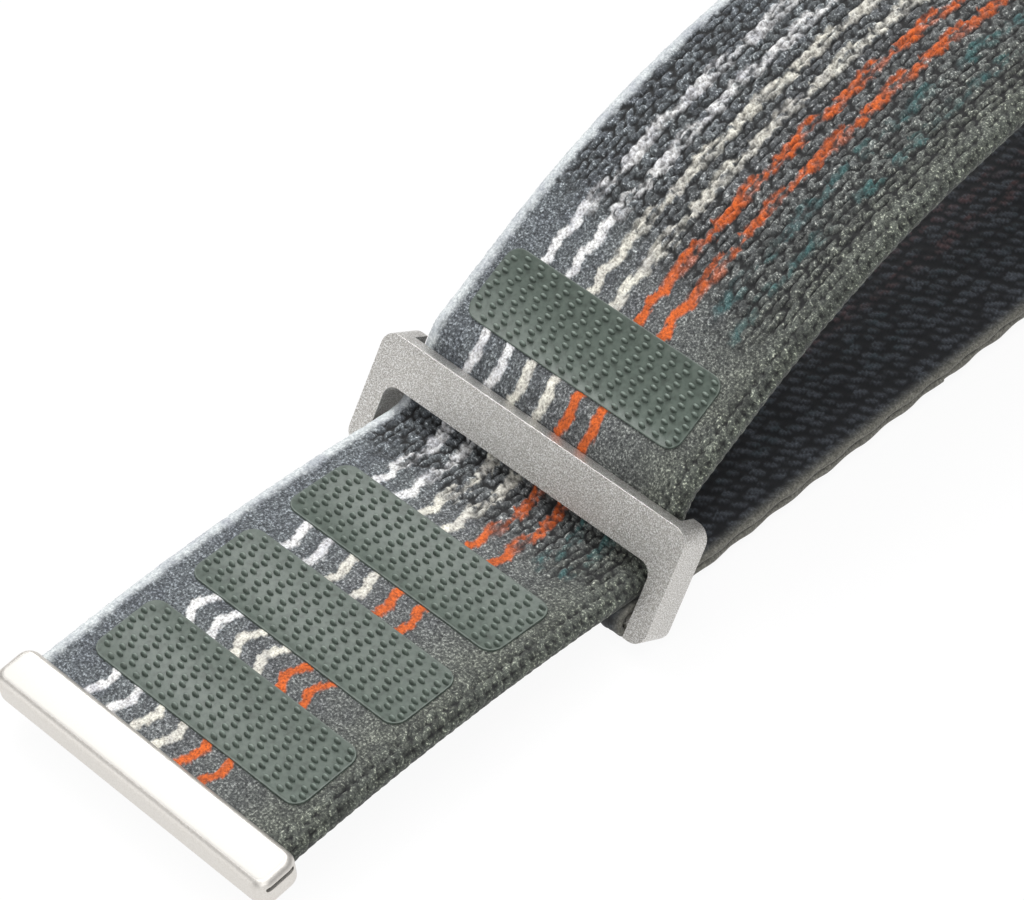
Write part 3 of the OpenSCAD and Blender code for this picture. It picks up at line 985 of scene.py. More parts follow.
@dataclass(frozen=True)
class LoopFace:
    """Where the long strap's face changes and how far its parts stand proud, mm."""

    knit_start: float = 27.8
    knit_stop: float = 37.6
    knit_again: float = 48.0
    knit_ragged: float = 0.8
    knit_fade: float = 1.6
    stop_fade: float = 1.5
    again_fade: float = 2.5
    knit_shift: float = 0.28
    braid_from: float = 9.3
    braid_fade: float = 0.25
    pale_from: float = 9.85
    pale_fade: float = 0.5
    stitch_h: float = 0.17
    sunk: float = 0.04
    crumple_h: float = 0.05
    pile_h: float = 0.012
    nap_h: float = 0.02
    yarn_h: float = 0.03
    inner_share: float = 0.3


@dataclass(frozen=True)
class YarnRun:
    """How a dyed yarn runs, mm.

    On the pile it is one bent dash. In the open knit it is two strands apart from each other,
    which open and close once every repeat.
    """

    dash_half: float = 0.32
    dash_fade: float = 0.12
    left_half: float = 0.3
    right_half: float = 0.34
    apart: float = 0.1
    strand_fade: float = 0.14
    repeat: float = 5.7
    repeat_from: float = 53.9
    opens: float = 0.3
    closes: float = 0.7


@dataclass(frozen=True)
class RibFace:
    """The short strap's rib and its uneven edge, mm."""

    leaf_h: float = 0.06
    pile_h: float = 0.006
    edge_from: float = 10.2
    edge_w: float = 0.7
    scallop_h: float = 0.06
    scallop_pitch: float = 3.7
    ragged_h: float = 0.02
    stripe_share: float = 0.4


@dataclass
class Loom:
    """Weaves a strap's mesh: a grid rolled round the strap's section and laid on its path.

    The mesh's step along the strap is cell, in mm. Across it, the outer face has the share
    outer_step of that and the inner face inner_step times it. Rows and columns of stitches
    stray by stray_w and stray_s, mm.
    """

    weave: Weave
    width: float
    thick: float
    cell: float = 0.13
    seed: int = 7
    outer_step: float = 0.85
    inner_step: float = 3.0
    edge_points: int = 13
    weld: float = 0.0005
    stray_w: float = 0.08
    stray_s: float = 0.14
    face: LoopFace = field(default_factory=LoopFace)
    run: YarnRun = field(default_factory=YarnRun)
    rib: RibFace = field(default_factory=RibFace)

    def section(self) -> tuple[np.ndarray, np.ndarray, np.ndarray, np.ndarray, np.ndarray]:
        """The strap's cross-section, walked once round from the middle of its inner face.

        Returns:
            Arrays of w, n, the outward normal's w and n parts, and the walk parameter.
        """
        half, r = self.width / 2 - self.thick / 2, self.thick / 2
        fine, rough = self.cell * self.outer_step, self.cell * self.inner_step
        inner = np.arange(0, half, rough)
        side = np.linspace(-math.pi / 2, math.pi / 2, self.edge_points)
        outer = np.linspace(half, -half, int(2 * half / fine) + 1)
        w = np.concatenate([inner, half + r * np.cos(side), outer[1:-1],
                            -half - r * np.cos(side), -inner[::-1]])
        n = np.concatenate([np.full(len(inner), -r), r * np.sin(side),
                            np.full(len(outer) - 2, r), r * np.sin(side[::-1]),
                            np.full(len(inner), -r)])
        nw = np.concatenate([np.zeros(len(inner)), np.cos(side), np.zeros(len(outer) - 2),
                             -np.cos(side), np.zeros(len(inner))])
        nn = np.concatenate([np.full(len(inner), -1.0), np.sin(side), np.ones(len(outer) - 2),
                             np.sin(side[::-1]), np.full(len(inner), -1.0)])
        return w, n, nw, nn, np.linspace(0, 1, len(w))

    def patchy(self, w: np.ndarray, s: np.ndarray, across: float, along: float,
               salt: int) -> np.ndarray:
        """Smooth random tone between -1 and 1 over the cloth.

        Args:
            w: Places across the strap, mm.
            s: Places along it, mm.
            across: Size of a patch across the strap, mm.
            along: Size of a patch along it, mm.
            salt: Picks the pattern.

        Returns:
            The tone at each place.
        """
        side, origin = 256, 60.0
        table = np.random.default_rng(self.seed + 101 * salt).uniform(-1, 1, (side, side))
        u, v = (w + origin) / across, (s + origin) / along
        i, j = np.floor(u).astype(int), np.floor(v).astype(int)
        a, b = u - i, v - j
        a, b = a * a * (3 - 2 * a), b * b * (3 - 2 * b)
        i, j, i2, j2 = i % side, j % side, (i + 1) % side, (j + 1) % side
        return ((table[i, j] * (1 - a) + table[i2, j] * a) * (1 - b)
                + (table[i, j2] * (1 - a) + table[i2, j2] * a) * b)

    def knit(self, w: np.ndarray, s: np.ndarray) -> np.ndarray:
        """Where the loop pile gives way to the open knit: behind the ring and on the rise.

        Args:
            w: Places across the strap, mm.
            s: Places along it, mm.

        Returns:
            0 on the pile and 1 on the open knit.
        """
        face = self.face
        ragged = face.knit_ragged * self.patchy(w, s, 1.1, 1.1, 5)
        behind_ring = (unit((s + ragged - face.knit_start) / face.knit_fade)
                       * unit((face.knit_stop - s) / face.stop_fade))
        # On the rise the knit starts a little sooner at the right edge than at the left.
        rise = unit((s + 1.4 * ragged - face.knit_again + 0.09 * w) / face.again_fade)
        return behind_ring + rise

    @staticmethod
    def sway(s: np.ndarray) -> tuple[np.ndarray, np.ndarray]:
        """How far all dyed yarns have slid sideways, and how each dash on the pile bends.

        Args:
            s: Places along the strap, mm.

        Returns:
            The slide and the bend, mm.
        """
        # All yarns move 0.6 mm left under the ring and 0.15 mm back on the rise.
        slide = 0.4 - 0.6 * unit((s - 30) / 8) + 0.15 * unit((s - 46) / 8)
        # Each gap between two patches has a bend of its own, and the ring's side has another.
        bend = np.where(s < 25, -0.3 * np.cos(2 * np.pi * (s - 11.45) / 3.0), 0.2 * np.cos(
            2 * np.pi * (s - 38.7) / np.where(s < 38.7, 2.3, 2.475)))
        return slide, np.where((s > 15) | (s < 6), 0.75 * bend, bend)

    def strands(self, side: np.ndarray, turn: np.ndarray, fray: np.ndarray,
                clump: np.ndarray, crumb: np.ndarray) -> np.ndarray:
        """How much of a dyed yarn shows in the open knit, where it opens into two strands.

        Args:
            side: Distance from the yarn's line, mm.
            turn: Place in the yarn's own repeat, 0 to 1.
            fray: Fine unevenness.
            clump: Unevenness that goes with each stitch.
            crumb: Gaps between the fibres.

        Returns:
            The mask, 0 to 1.
        """
        run = self.run
        neck = unit((turn - run.closes) / 0.08) * unit((1.0 - turn) / 0.05)
        loop = unit((turn - run.opens) / 0.14) * (1 - neck)
        wander = 0.1 * clump + 0.06 * fray
        # The left strand swings out and all but vanishes in the neck; the right one stays.
        left = (run.left_half - 0.08 * loop - 0.3 * neck + 0.1 * clump + 0.14 * fray
                - np.abs(side + run.apart + 0.28 * loop - wander))
        right = (run.right_half - 0.12 * loop - 0.12 * neck + 0.12 * clump + 0.14 * fray
                 - np.abs(side - run.apart - 0.12 * loop - 0.1 * neck - wander))
        both = np.maximum(unit(left / run.strand_fade + 0.5),
                          unit(right / run.strand_fade + 0.5) * (1 - 0.45 * loop))
        return both * np.clip(0.95 + 0.6 * crumb + 0.2 * clump, 0.15, 1)

    def stripe(self, w: np.ndarray, s: np.ndarray, knit: np.ndarray, cell: Stitch
               ) -> tuple[np.ndarray, np.ndarray]:
        """How much of a dyed yarn shows at each point, and which one.

        Args:
            w: Places across the strap, mm.
            s: Places along it, mm.
            knit: Where the cloth is open knit.
            cell: The stitch at each place.

        Returns:
            The stripe mask and the yarn's number for the colour ramp.
        """
        mask, kind, near = np.zeros_like(w), np.zeros_like(w), np.full_like(w, 99.0)
        fray = self.patchy(w, s, 0.2, 0.28, 1)
        clump = self.patchy(cell.w, cell.s, 0.7, 1.0, 2)
        crumb = self.patchy(w, s, 0.17, 0.22, 5)
        slide, bend = self.sway(s)
        run = self.run
        for k, (centre, yarn) in enumerate(STRIPES):
            side = w - centre - slide
            turn = (s - run.repeat_from + 0.25 * math.sin(5.0 * k)) / run.repeat
            loose = self.strands(side, turn - np.floor(turn), fray, clump, crumb)
            tight = run.dash_half + 0.16 * fray - np.abs(side - bend * (1 + 0.25 * clump))
            shown = unit(tight / run.dash_fade + 0.5) * (1 - knit) + loose * knit
            if yarn is Yarn.TEAL:
                # The teal yarns show only as dabs, and only in the open knit.
                shown = loose * np.clip(0.45 + 0.7 * clump, 0, 0.7) * unit(3 * knit - 1)
            mask = np.maximum(mask, shown)
            kind = np.where(np.abs(side) < near, yarn.value, kind)
            near = np.minimum(near, np.abs(side))
        return mask, kind

    def stitches(self, w: np.ndarray, s: np.ndarray, plan: StitchPlan) -> Stitch:
        """Lay rows of slanting, slightly uneven stitches, staggered or paired as legs.

        Args:
            w: Places across the strap, mm.
            s: Places along it, mm.
            plan: How the stitches are laid.

        Returns:
            The stitch at each place.
        """
        w = w + self.stray_w * self.patchy(w, s, 0.9, 1.3, 3)
        s = s + self.stray_s * self.patchy(w, s, 1.0, 1.0, 4)
        column = np.floor(w / plan.across).astype(int)
        odd = column % 2
        part = w / plan.across - column - 0.5
        lean = np.where(odd == 0, plan.slant, -plan.slant) if plan.legs else plan.slant
        turn = s / plan.along + plan.stagger * odd + lean * part
        row = np.floor(turn).astype(int)
        step = turn - row - 0.5
        side = 256
        table = np.random.default_rng(self.seed + 31).uniform(-1, 1, (3, side, side))
        tone, push_w, push_s = (t[column % side, row % side] for t in table)
        d = np.hypot((part + plan.uneven * 0.5 * push_w) / 0.5,
                     (step + plan.uneven * 0.5 * push_s) / (0.5 * plan.thin))
        gap = np.abs(part + np.where(odd == 0, 0.5, -0.5))
        groove = plan.groove * unit(1 - gap / 0.4)
        return Stitch(np.clip(1 - d ** 2 * 0.9 - groove, -0.9, 1), tone,
                      (column + 0.5) * plan.across,
                      (row + 0.5 - plan.stagger * odd) * plan.along)

    def loop_relief(self, w: np.ndarray, s: np.ndarray, nn: np.ndarray,
                    rough: np.ndarray) -> dict[str, np.ndarray]:
        """Height and masks of the long strap: pile, open knit, braided and pale edges.

        Args:
            w: Places across the strap, mm.
            s: Places along it, mm.
            nn: 1 on the outer face, -1 on the inner face, between them on the edges.
            rough: A random height for each place.

        Returns:
            Height in mm and the masks deep, stripe, yarn, pale, knit and tone.
        """
        face = self.face
        up = unit(nn * 3)
        knit = np.maximum(self.knit(w, s), 1 - up)
        cell = self.stitches(w + face.knit_shift, s, OPEN_KNIT)
        mask, kind = self.stripe(w, s, knit, cell)
        soft = self.patchy(w, s, 0.35, 0.35, 6)
        crumple = self.patchy(w, s, 0.22, 0.3, 8)
        flat = self.width / 2 - self.thick / 2
        girth = np.where(w > flat, flat + self.thick / 2 * np.arccos(np.clip(nn, -1, 1)), w)
        braid = self.stitches(girth, s, BRAID)
        right = unit((w - face.braid_from) / face.braid_fade)
        # The pale left edge: pale yarn, partly a painted highlight.
        left = unit((-w - face.pale_from + 0.15 * soft) / face.pale_fade)
        knit = knit * (1 - right) * unit(1 - 2 * left)
        bump = np.where(right > 0.5, braid.dome, cell.dome)
        weight = np.maximum(knit, right)
        height = (weight * (face.stitch_h * np.clip(bump, -0.5, 1) - face.sunk
                            + face.crumple_h * crumple)
                  + (1 - weight) * (face.pile_h * rough + face.nap_h * soft)
                  + face.yarn_h * mask * up)
        height = height * (face.inner_share + (1 - face.inner_share) * up)
        # Painted shade: the hollows between the stitches are darkened, and less so where a dyed
        # yarn lies.
        deep = weight * unit((0.4 - bump - 0.45 * crumple) * 1.3)
        deep = deep * (1 - 0.6 * mask * up) + 0.4 * mask * up * unit(-crumple - 0.2)
        tone = np.where(right > 0.5, braid.tone, cell.tone) * weight
        return {"height": height, "deep": deep, "stripe": mask * up, "yarn": kind,
                "pale": left, "knit": weight, "tone": tone}

    def rib_relief(self, w: np.ndarray, s: np.ndarray,
                   rough: np.ndarray) -> dict[str, np.ndarray]:
        """Height and masks of the short strap: a leaf-shaped rib and uneven pale edges.

        Args:
            w: Places across the strap, mm.
            s: Places along it, mm.
            rough: A random height for each place.

        Returns:
            Height in mm and the masks deep, stripe, yarn, pale, knit and tone.
        """
        rib = self.rib
        leaf = self.stitches(w, s, RIB)
        # The pale edges, whose colour is partly a painted highlight.
        edge = unit((np.abs(w) - rib.edge_from) / rib.edge_w) ** 1.5
        mask, kind = self.stripe(w, s, np.ones_like(w), leaf)
        scallop = (rib.scallop_h * np.cos(2 * np.pi * s / rib.scallop_pitch)
                   + rib.ragged_h * self.patchy(w, s, 0.4, 0.5, 7))
        height = (1 - edge) * (rib.leaf_h * leaf.dome + rib.pile_h * rough) + edge * scallop
        # Painted shade for the hollows between the rib's leaves, also darker by each leaf's
        # random tone.
        deep = (1 - edge) * unit((0.75 - leaf.dome - 0.45 * leaf.tone) * 1.4)
        return {"height": height, "deep": deep, "stripe": mask * rib.stripe_share * (1 - edge),
                "yarn": kind, "pale": edge, "knit": np.ones_like(w), "tone": leaf.tone}

    def roll(self, name: str, path: StrapPath, s0: float, s1: float,
             cell: float) -> bpy.types.Object:
        """Weave one length of strap.

        Args:
            name: The object's name.
            path: The strap's path.
            s0: Where the length starts, mm along the path.
            s1: Where it ends.
            cell: Size of the mesh along the strap.

        Returns:
            The closed mesh, in millimetres.
        """
        w_at, n_at, nw_at, nn_at, walk = self.section()
        rows = max(2, int(round((s1 - s0) / cell)))
        Bench.clear()
        bpy.ops.mesh.primitive_grid_add(x_subdivisions=len(walk) - 1, y_subdivisions=rows,
                                        size=2)
        made = bpy.context.object
        made.name = name
        mesh = made.data
        co = np.zeros(len(mesh.vertices) * 3)
        mesh.vertices.foreach_get("co", co)
        co = co.reshape(-1, 3)
        p = (co[:, 0] + 1) / 2
        s = s0 + (s1 - s0) * (co[:, 1] + 1) / 2
        w, n, nw, nn = (np.interp(p, walk, a) for a in (w_at, n_at, nw_at, nn_at))
        rough = np.random.default_rng(self.seed).normal(0, 1, len(w))
        if self.weave is Weave.HOOK_AND_LOOP:
            notes = self.loop_relief(w, s, nn, rough)
        else:
            notes = self.rib_relief(w, s, rough)
        height = np.where(np.minimum(p, 1 - p) < 1e-6, 0.0, notes.pop("height"))
        w2, n2 = w + nw * height, n + nn * height
        y, z, h = path.at(s)
        out = np.stack([w2, y - n2 * np.sin(h), z + n2 * np.cos(h)], 1)
        mesh.vertices.foreach_set("co", out.ravel())
        self.note(mesh, "lay", np.stack([w, s, n], 1))
        for label, data in notes.items():
            self.note(mesh, label, data)
        mesh.update()
        Bench.hold(made)
        bpy.ops.object.mode_set(mode="EDIT")
        bpy.ops.mesh.select_all(action="SELECT")
        bpy.ops.mesh.remove_doubles(threshold=self.weld)
        bpy.ops.mesh.select_all(action="SELECT")
        bpy.ops.mesh.fill_holes(sides=0)
        bpy.ops.mesh.select_all(action="SELECT")
        bpy.ops.mesh.normals_make_consistent(inside=False)
        bpy.ops.object.mode_set(mode="OBJECT")
        return made

    @staticmethod
    def note(mesh: bpy.types.Mesh, label: str, data: np.ndarray) -> None:
        """Write one value, or one triple of values, a point into the mesh for its material.

        Args:
            mesh: The mesh.
            label: The attribute's name.
            data: The values.
        """
        kind, name = ("FLOAT_VECTOR", "vector") if data.ndim == 2 else ("FLOAT", "value")
        made = mesh.attributes.new(label, kind, "POINT")
        made.data.foreach_set(name, np.ascontiguousarray(data, dtype=np.float32).ravel())


@dataclass(frozen=True)
class Length:
    """One woven length: its name, the two bodies that it joins, where it bends between them,
    in metres, and the solids that it stands for."""

    name: str
    bodies: tuple[str, str]
    bend: tuple[Point, Point]
    nodes: tuple[str, ...]


@dataclass
class Webbing:
    """A strap woven in lengths, each spanning one joint, with a notched lug loop."""

    sizes: Sizes
    slot: str
    knob: str
    knob_room: tuple[float, float]
    smooth: float = 60.0
    joint_half: float = 1.0
    side_room: float = 0.45
    inner_room: float = 1.45
    outer_room: float = 0.15

    def notch(self, piece: bpy.types.Object) -> None:
        """Cut the opening for the release knob into the lug loop.

        Args:
            piece: The length with the loop.
        """
        low, high = (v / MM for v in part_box(self.knob))
        Bench.carve(piece, Bench.block(
            "notch", (low.x - self.inner_room, low.y - self.side_room,
                      low.z + self.knob_room[0]),
            (high.x + self.outer_room, high.y + self.side_room, high.z + self.knob_room[1])))

    def weave(self, loom: Loom, path: StrapPath, cuts: Sequence[float],
              lengths: Sequence[Length], cells: Sequence[float],
              cloth: bpy.types.Material) -> None:
        """Weave, cut and dress the lengths. The last one holds the lug loop.

        Args:
            loom: The strap's loom.
            path: The strap's path.
            cuts: Where the lengths start and end along the path.
            lengths: The lengths in order.
            cells: Size of each length's mesh along the strap.
            cloth: The strap's material.
        """
        for k, part in enumerate(lengths):
            piece = loom.roll(part.name, path, cuts[k], cuts[k + 1], cells[k])
            if k == len(lengths) - 1:
                self.notch(piece)
            Bench.finish(piece, part.name, [cloth], self.smooth)
            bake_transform(piece)
            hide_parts(*part.nodes)
            log.info("%s: %d faces", part.name, len(piece.data.polygons))


@dataclass
class LongStrap(Webbing):
    """The long hook-and-loop strap, from the tail's tip over the ring to its lug."""

    slot: str = "long_webbing"
    knob: str = "long_bar_release_knob"
    knob_room: tuple[float, float] = (-1.5, -0.9)
    finish: LoopWebbing = field(default_factory=LoopWebbing)
    lug_cell: float = 0.25

    def build(self) -> None:
        """Work out the cuts and bends and weave the five lengths."""
        z = self.sizes
        path = z.long_path()
        loom = Loom(Weave.HOOK_AND_LOOP, z.strap_w, z.web_t)
        turn = [z.tip_run + k * z.patch_pitch for k in range(3)]
        joint_a = (z.crest_s + z.patch_zone + StrapPath.span((z.rise_r, z.rise_turn))
                   + z.bend_run)
        arch = StrapPath.span((z.arch_r, z.patch_slope - z.rise_turn + z.fall_slope))
        joint_b = joint_a + z.web_t / 2 + z.hinge + arch + z.bend_run
        half = z.patch_pitch / 2
        cuts = [0.0, turn[0] + half, turn[1] + half, z.crest_s + z.patch_zone / 2,
                (joint_a + joint_b) / 2, path.length()]
        plan = [("webbing_tip", turn[0], ("tail_tip", "tail_middle"), ("tail_length_1",)),
                ("webbing_tail", turn[1], ("tail_middle", "tail_near_ring"),
                 ("tail_length_2",)),
                ("webbing_at_ring", turn[2], ("tail_near_ring", "long_at_ring"),
                 ("tail_length_3",)),
                ("webbing_rise", joint_a, ("long_at_ring", "long_arch"),
                 ("long_ring_length",)),
                ("webbing_lug", joint_b, ("long_arch", "long_at_lug"),
                 ("long_arch_length", "long_lug_length"))]
        lengths = [Length(name, bodies, (self.bend_at(path, s - self.joint_half),
                                         self.bend_at(path, s + self.joint_half)), nodes)
                   for name, s, bodies, nodes in plan]
        self.weave(loom, path, cuts, lengths, [loom.cell] * 4 + [self.lug_cell],
                   self.finish.make())

    @staticmethod
    def bend_at(path: StrapPath, s: float) -> Point:
        """A point of the strap's middle line in metres."""
        y, z, _ = path.spot(s)
        return (0.0, y * MM, z * MM)


@dataclass
class ShortStrap(Webbing):
    """The short strap that holds the ring, doubled, in two lengths."""

    slot: str = "short_webbing"
    knob: str = "short_bar_release_knob"
    knob_room: tuple[float, float] = (0.9, 1.5)
    finish: PlainWebbing = field(default_factory=PlainWebbing)
    joints: tuple[float, float] = (15.0, 44.0)
    over_bar: float = 0.1
    cell: float = 0.2
    seed: int = 11

    def build(self) -> None:
        """Work out the cuts and bends and weave the two lengths."""
        z = self.sizes
        path, middle = z.short_path()
        loom = Loom(Weave.PLAIN, z.strap_w, z.layer_t, self.cell, self.seed)
        bends = [tuple((0.0, (z.shift_y + joint + d) * MM, (z.bar_z + self.over_bar) * MM)
                       for d in (-self.joint_half, self.joint_half)) for joint in self.joints]
        lengths = [Length("short_webbing_ring", ("short_at_ring", "short_middle"), bends[0],
                          ("short_ring_length",)),
                   Length("short_webbing_lug", ("short_middle", "short_at_lug"), bends[1],
                          ("short_mid_length", "short_lug_length"))]
        self.weave(loom, path, [0.0, middle, path.length()], lengths, [self.cell] * 2,
                   self.finish.make())


@dataclass
class HookPatches:
    """Four moulded hook patches: a rounded plate with a fine rim and rows of low studs."""

    sizes: Sizes
    finish: MouldedHook = field(default_factory=MouldedHook)
    corner: float = 1.0
    corner_facets: int = 5
    rim: tuple[float, float] = (0.09, 0.06)
    rim_step: float = 0.04
    rim_soft: float = 0.04
    margin: float = 0.7
    stud_reach: float = 0.8
    pitch_x: float = 1.13
    pitch_y: float = 0.465
    zigzag: float = 0.26
    jitter: float = 0.008
    head: Point = (0.27, 0.15, 0.27)
    head_sink: float = 0.03
    root: float = -0.06
    lean: float = 15.0
    sink: float = 0.12
    shift: tuple[float, ...] = (0.05, 0.05, 0.05, -0.4)
    proud_h: float = 0.08
    smooth: float = 35.0
    seed: int = 3

    def stud(self) -> bpy.types.Object:
        """Model one stud: a low, rounded head, longer across the strap than along it.

        Returns:
            The stud, standing on the plate's face.
        """
        Bench.clear()
        bpy.ops.mesh.primitive_uv_sphere_add(segments=10, ring_count=8, radius=1)
        made = bpy.context.object
        made.name = "stud"
        bpy.ops.object.mode_set(mode="EDIT")
        bpy.ops.mesh.select_all(action="SELECT")
        bpy.ops.transform.resize(value=self.head, center_override=(0, 0, 0))
        bpy.ops.transform.rotate(value=math.radians(self.lean), orient_axis="X",
                                 center_override=(0, 0, 0))
        bpy.ops.object.mode_set(mode="OBJECT")
        Bench.pick(made, lambda c, n: c.z < self.root)
        bpy.ops.mesh.delete(type="FACE")
        bpy.ops.mesh.select_all(action="SELECT")
        bpy.ops.transform.translate(value=(0, 0, self.sizes.patch_t - self.head_sink))
        bpy.ops.object.mode_set(mode="OBJECT")
        return made

    def plate(self) -> bpy.types.Object:
        """Model the plate with rounded corners and a raised rim line.

        Returns:
            The plate, lying on the origin.
        """
        z = self.sizes
        w, d = z.patch_w / 2, z.patch_len / 2
        made = Bench.block("plate", (-w, -d, 0.0), (w, d, z.patch_t))
        Bench.round_edges(made, self.corner, self.corner_facets, lambda c, n: abs(n.z) > ALONG)
        Bench.pick(made, lambda c, n: n.z > ALONG)
        for width in self.rim:
            bpy.ops.mesh.inset(thickness=width)
        bpy.ops.transform.translate(value=(0, 0, -self.rim_step))
        bpy.ops.object.mode_set(mode="OBJECT")
        Bench.soften(made, self.rim_soft, 2, 35.0)
        return made

    def patch(self) -> bpy.types.Object:
        """Model one patch with its studs and note which way each point of a stud faces, for the
        studs' painted light and shade.

        Returns:
            The patch, lying on the origin.
        """
        z = self.sizes
        stud = self.stud()
        rows = int((z.patch_len - self.margin) / self.pitch_y) + 1
        cols = int((z.patch_w - self.margin - self.zigzag) / self.pitch_x) + 1
        rng = np.random.default_rng(self.seed)
        studs = []
        for j in range(rows):
            for i in range(cols):
                x = ((i - (cols - 1) / 2) * self.pitch_x + (j % 2 - 0.5) * self.zigzag
                     + rng.normal(0, self.jitter))
                y = (j - (rows - 1) / 2) * self.pitch_y + rng.normal(0, self.jitter)
                out_x = max(abs(x) - z.patch_w / 2 + self.corner, 0)
                out_y = max(abs(y) - z.patch_len / 2 + self.corner, 0)
                if math.hypot(out_x, out_y) <= self.stud_reach:
                    studs.append(Bench.copy(stud, Matrix.Translation((x, y, 0))))
        bpy.data.objects.remove(stud, do_unlink=True)
        made = Bench.join("patch", [self.plate()] + studs)
        tip = made.data.attributes.new("tip", "FLOAT", "POINT")
        # Painted light and shade: the plate gets 0.4. A stud gets more on its upper side,
        # painted lighter, and less on its lower one, painted darker.
        for vertex, note in zip(made.data.vertices, tip.data):
            proud = min(max((vertex.co.z - z.patch_t) / self.proud_h, 0.0), 1.0)
            faced = 0.45 + 0.6 * vertex.normal.y + 0.4 * vertex.normal.z
            note.value = 0.4 + proud * (min(max(faced, 0.0), 1.0) - 0.4)
        return made

    def build(self) -> None:
        """Lay the patch's four copies on the strap."""
        z = self.sizes
        patch = self.patch()
        path = z.long_path()
        moulded = self.finish.make()
        half = z.patch_pitch / 2
        places = [(z.tip_run - half, "tail_tip"), (z.tip_run + half, "tail_middle"),
                  (z.tip_run + half + z.patch_pitch, "tail_near_ring"),
                  (z.crest_s + z.patch_zone / 2, "long_at_ring")]
        for k, ((s, body), x) in enumerate(zip(places, self.shift), 1):
            piece = Bench.copy(patch, z.place(path, s, z.web_t / 2 - self.sink, x))
            Bench.finish(piece, f"hooks_{k}", [moulded], self.smooth)
            Bench.settle(piece, "hook_plastic", body, f"hook_patch_{k}")
        bpy.data.objects.remove(patch, do_unlink=True)


@dataclass
class Ring:
    """The metal ring: a blasted frame with polished edges and a thin round lower bar."""

    sizes: Sizes
    finish: Steel = field(default_factory=lambda: Steel(
        "bead_blasted_steel", "#c6c3be", roughness=0.36, grain_mm=0.085, strength=1.0,
        fleck=0.7))
    edge_finish: Steel = field(default_factory=lambda: Steel(
        "polished_steel_edge", "#efece8", roughness=0.33, grain_mm=0.2, strength=0.03,
        fleck=0.1))
    under: float = 0.15
    soft: float = 0.3
    spare: float = 1.0
    low_spare: float = 3.0
    edge_faces: tuple[float, float] = (0.1, 0.97)
    corner_facets: int = 8
    inner_facets: int = 6
    soft_facets: int = 4
    bar_facets: int = 40
    bar_cuts: int = 3
    smooth: float = 35.0

    def frame_block(self) -> bpy.types.Object:
        """Model the frame: rounded corners, an open middle and a thinner top bar.

        Returns:
            The frame, upright.
        """
        z = self.sizes
        low, high = -z.low_bar_r - self.under, z.gap_top + z.top_bar_h
        front, back = -z.ring_front, z.ring_d - z.ring_front
        half, spare = z.ring_gap_w / 2, self.spare
        made = Bench.block("ring_frame", (-z.ring_w / 2, front, low), (z.ring_w / 2, back, high))
        Bench.round_edges(made, z.ring_corner, self.corner_facets,
                          lambda c, n: abs(n.y) > ALONG)
        hole = Bench.block("hole", (-half, front - spare, z.low_bar_r - self.low_spare),
                           (half, back + spare, z.gap_top))
        Bench.round_edges(hole, z.ring_inner_r, self.inner_facets,
                          lambda c, n: abs(n.y) > ALONG and c.z > z.low_bar_r)
        Bench.carve(made, hole)
        recess = Bench.block("recess", (-half, z.top_bar_d - z.ring_front, low - spare),
                             (half, back + spare, high + spare))
        Bench.carve(made, recess)
        Bench.soften(made, self.soft, self.soft_facets, 50.0, 1)
        return made

    def lower_bar(self) -> bpy.types.Object:
        """Model the thin round bar that the short strap wraps.

        Returns:
            The bar, along X through the origin.
        """
        z = self.sizes
        Bench.clear()
        bpy.ops.mesh.primitive_cylinder_add(vertices=self.bar_facets, radius=z.low_bar_r,
                                            depth=z.ring_gap_w + self.spare,
                                            rotation=(0, math.pi / 2, 0))
        bar = bpy.context.object
        Bench.apply_place(bar)
        Bench.pick(bar, lambda c, n: abs(n.x) < 0.1)
        bpy.ops.mesh.subdivide(number_cuts=self.bar_cuts)
        bpy.ops.object.mode_set(mode="OBJECT")
        return bar

    def build(self) -> None:
        """Join the frame and the bar, mark the polished edges and lean the ring."""
        made = self.frame_block()
        Bench.carve(made, self.lower_bar(), Carve.JOIN)
        low, high = self.edge_faces
        for face in made.data.polygons:
            face.material_index = int(low < abs(face.normal.y) < high)
        made.data.transform(self.sizes.ring_place())
        Bench.finish(made, "ring_metal", [self.finish.make(), self.edge_finish.make()],
                     self.smooth)
        Bench.settle(made, "ring_metal", "metal_ring", "ring")


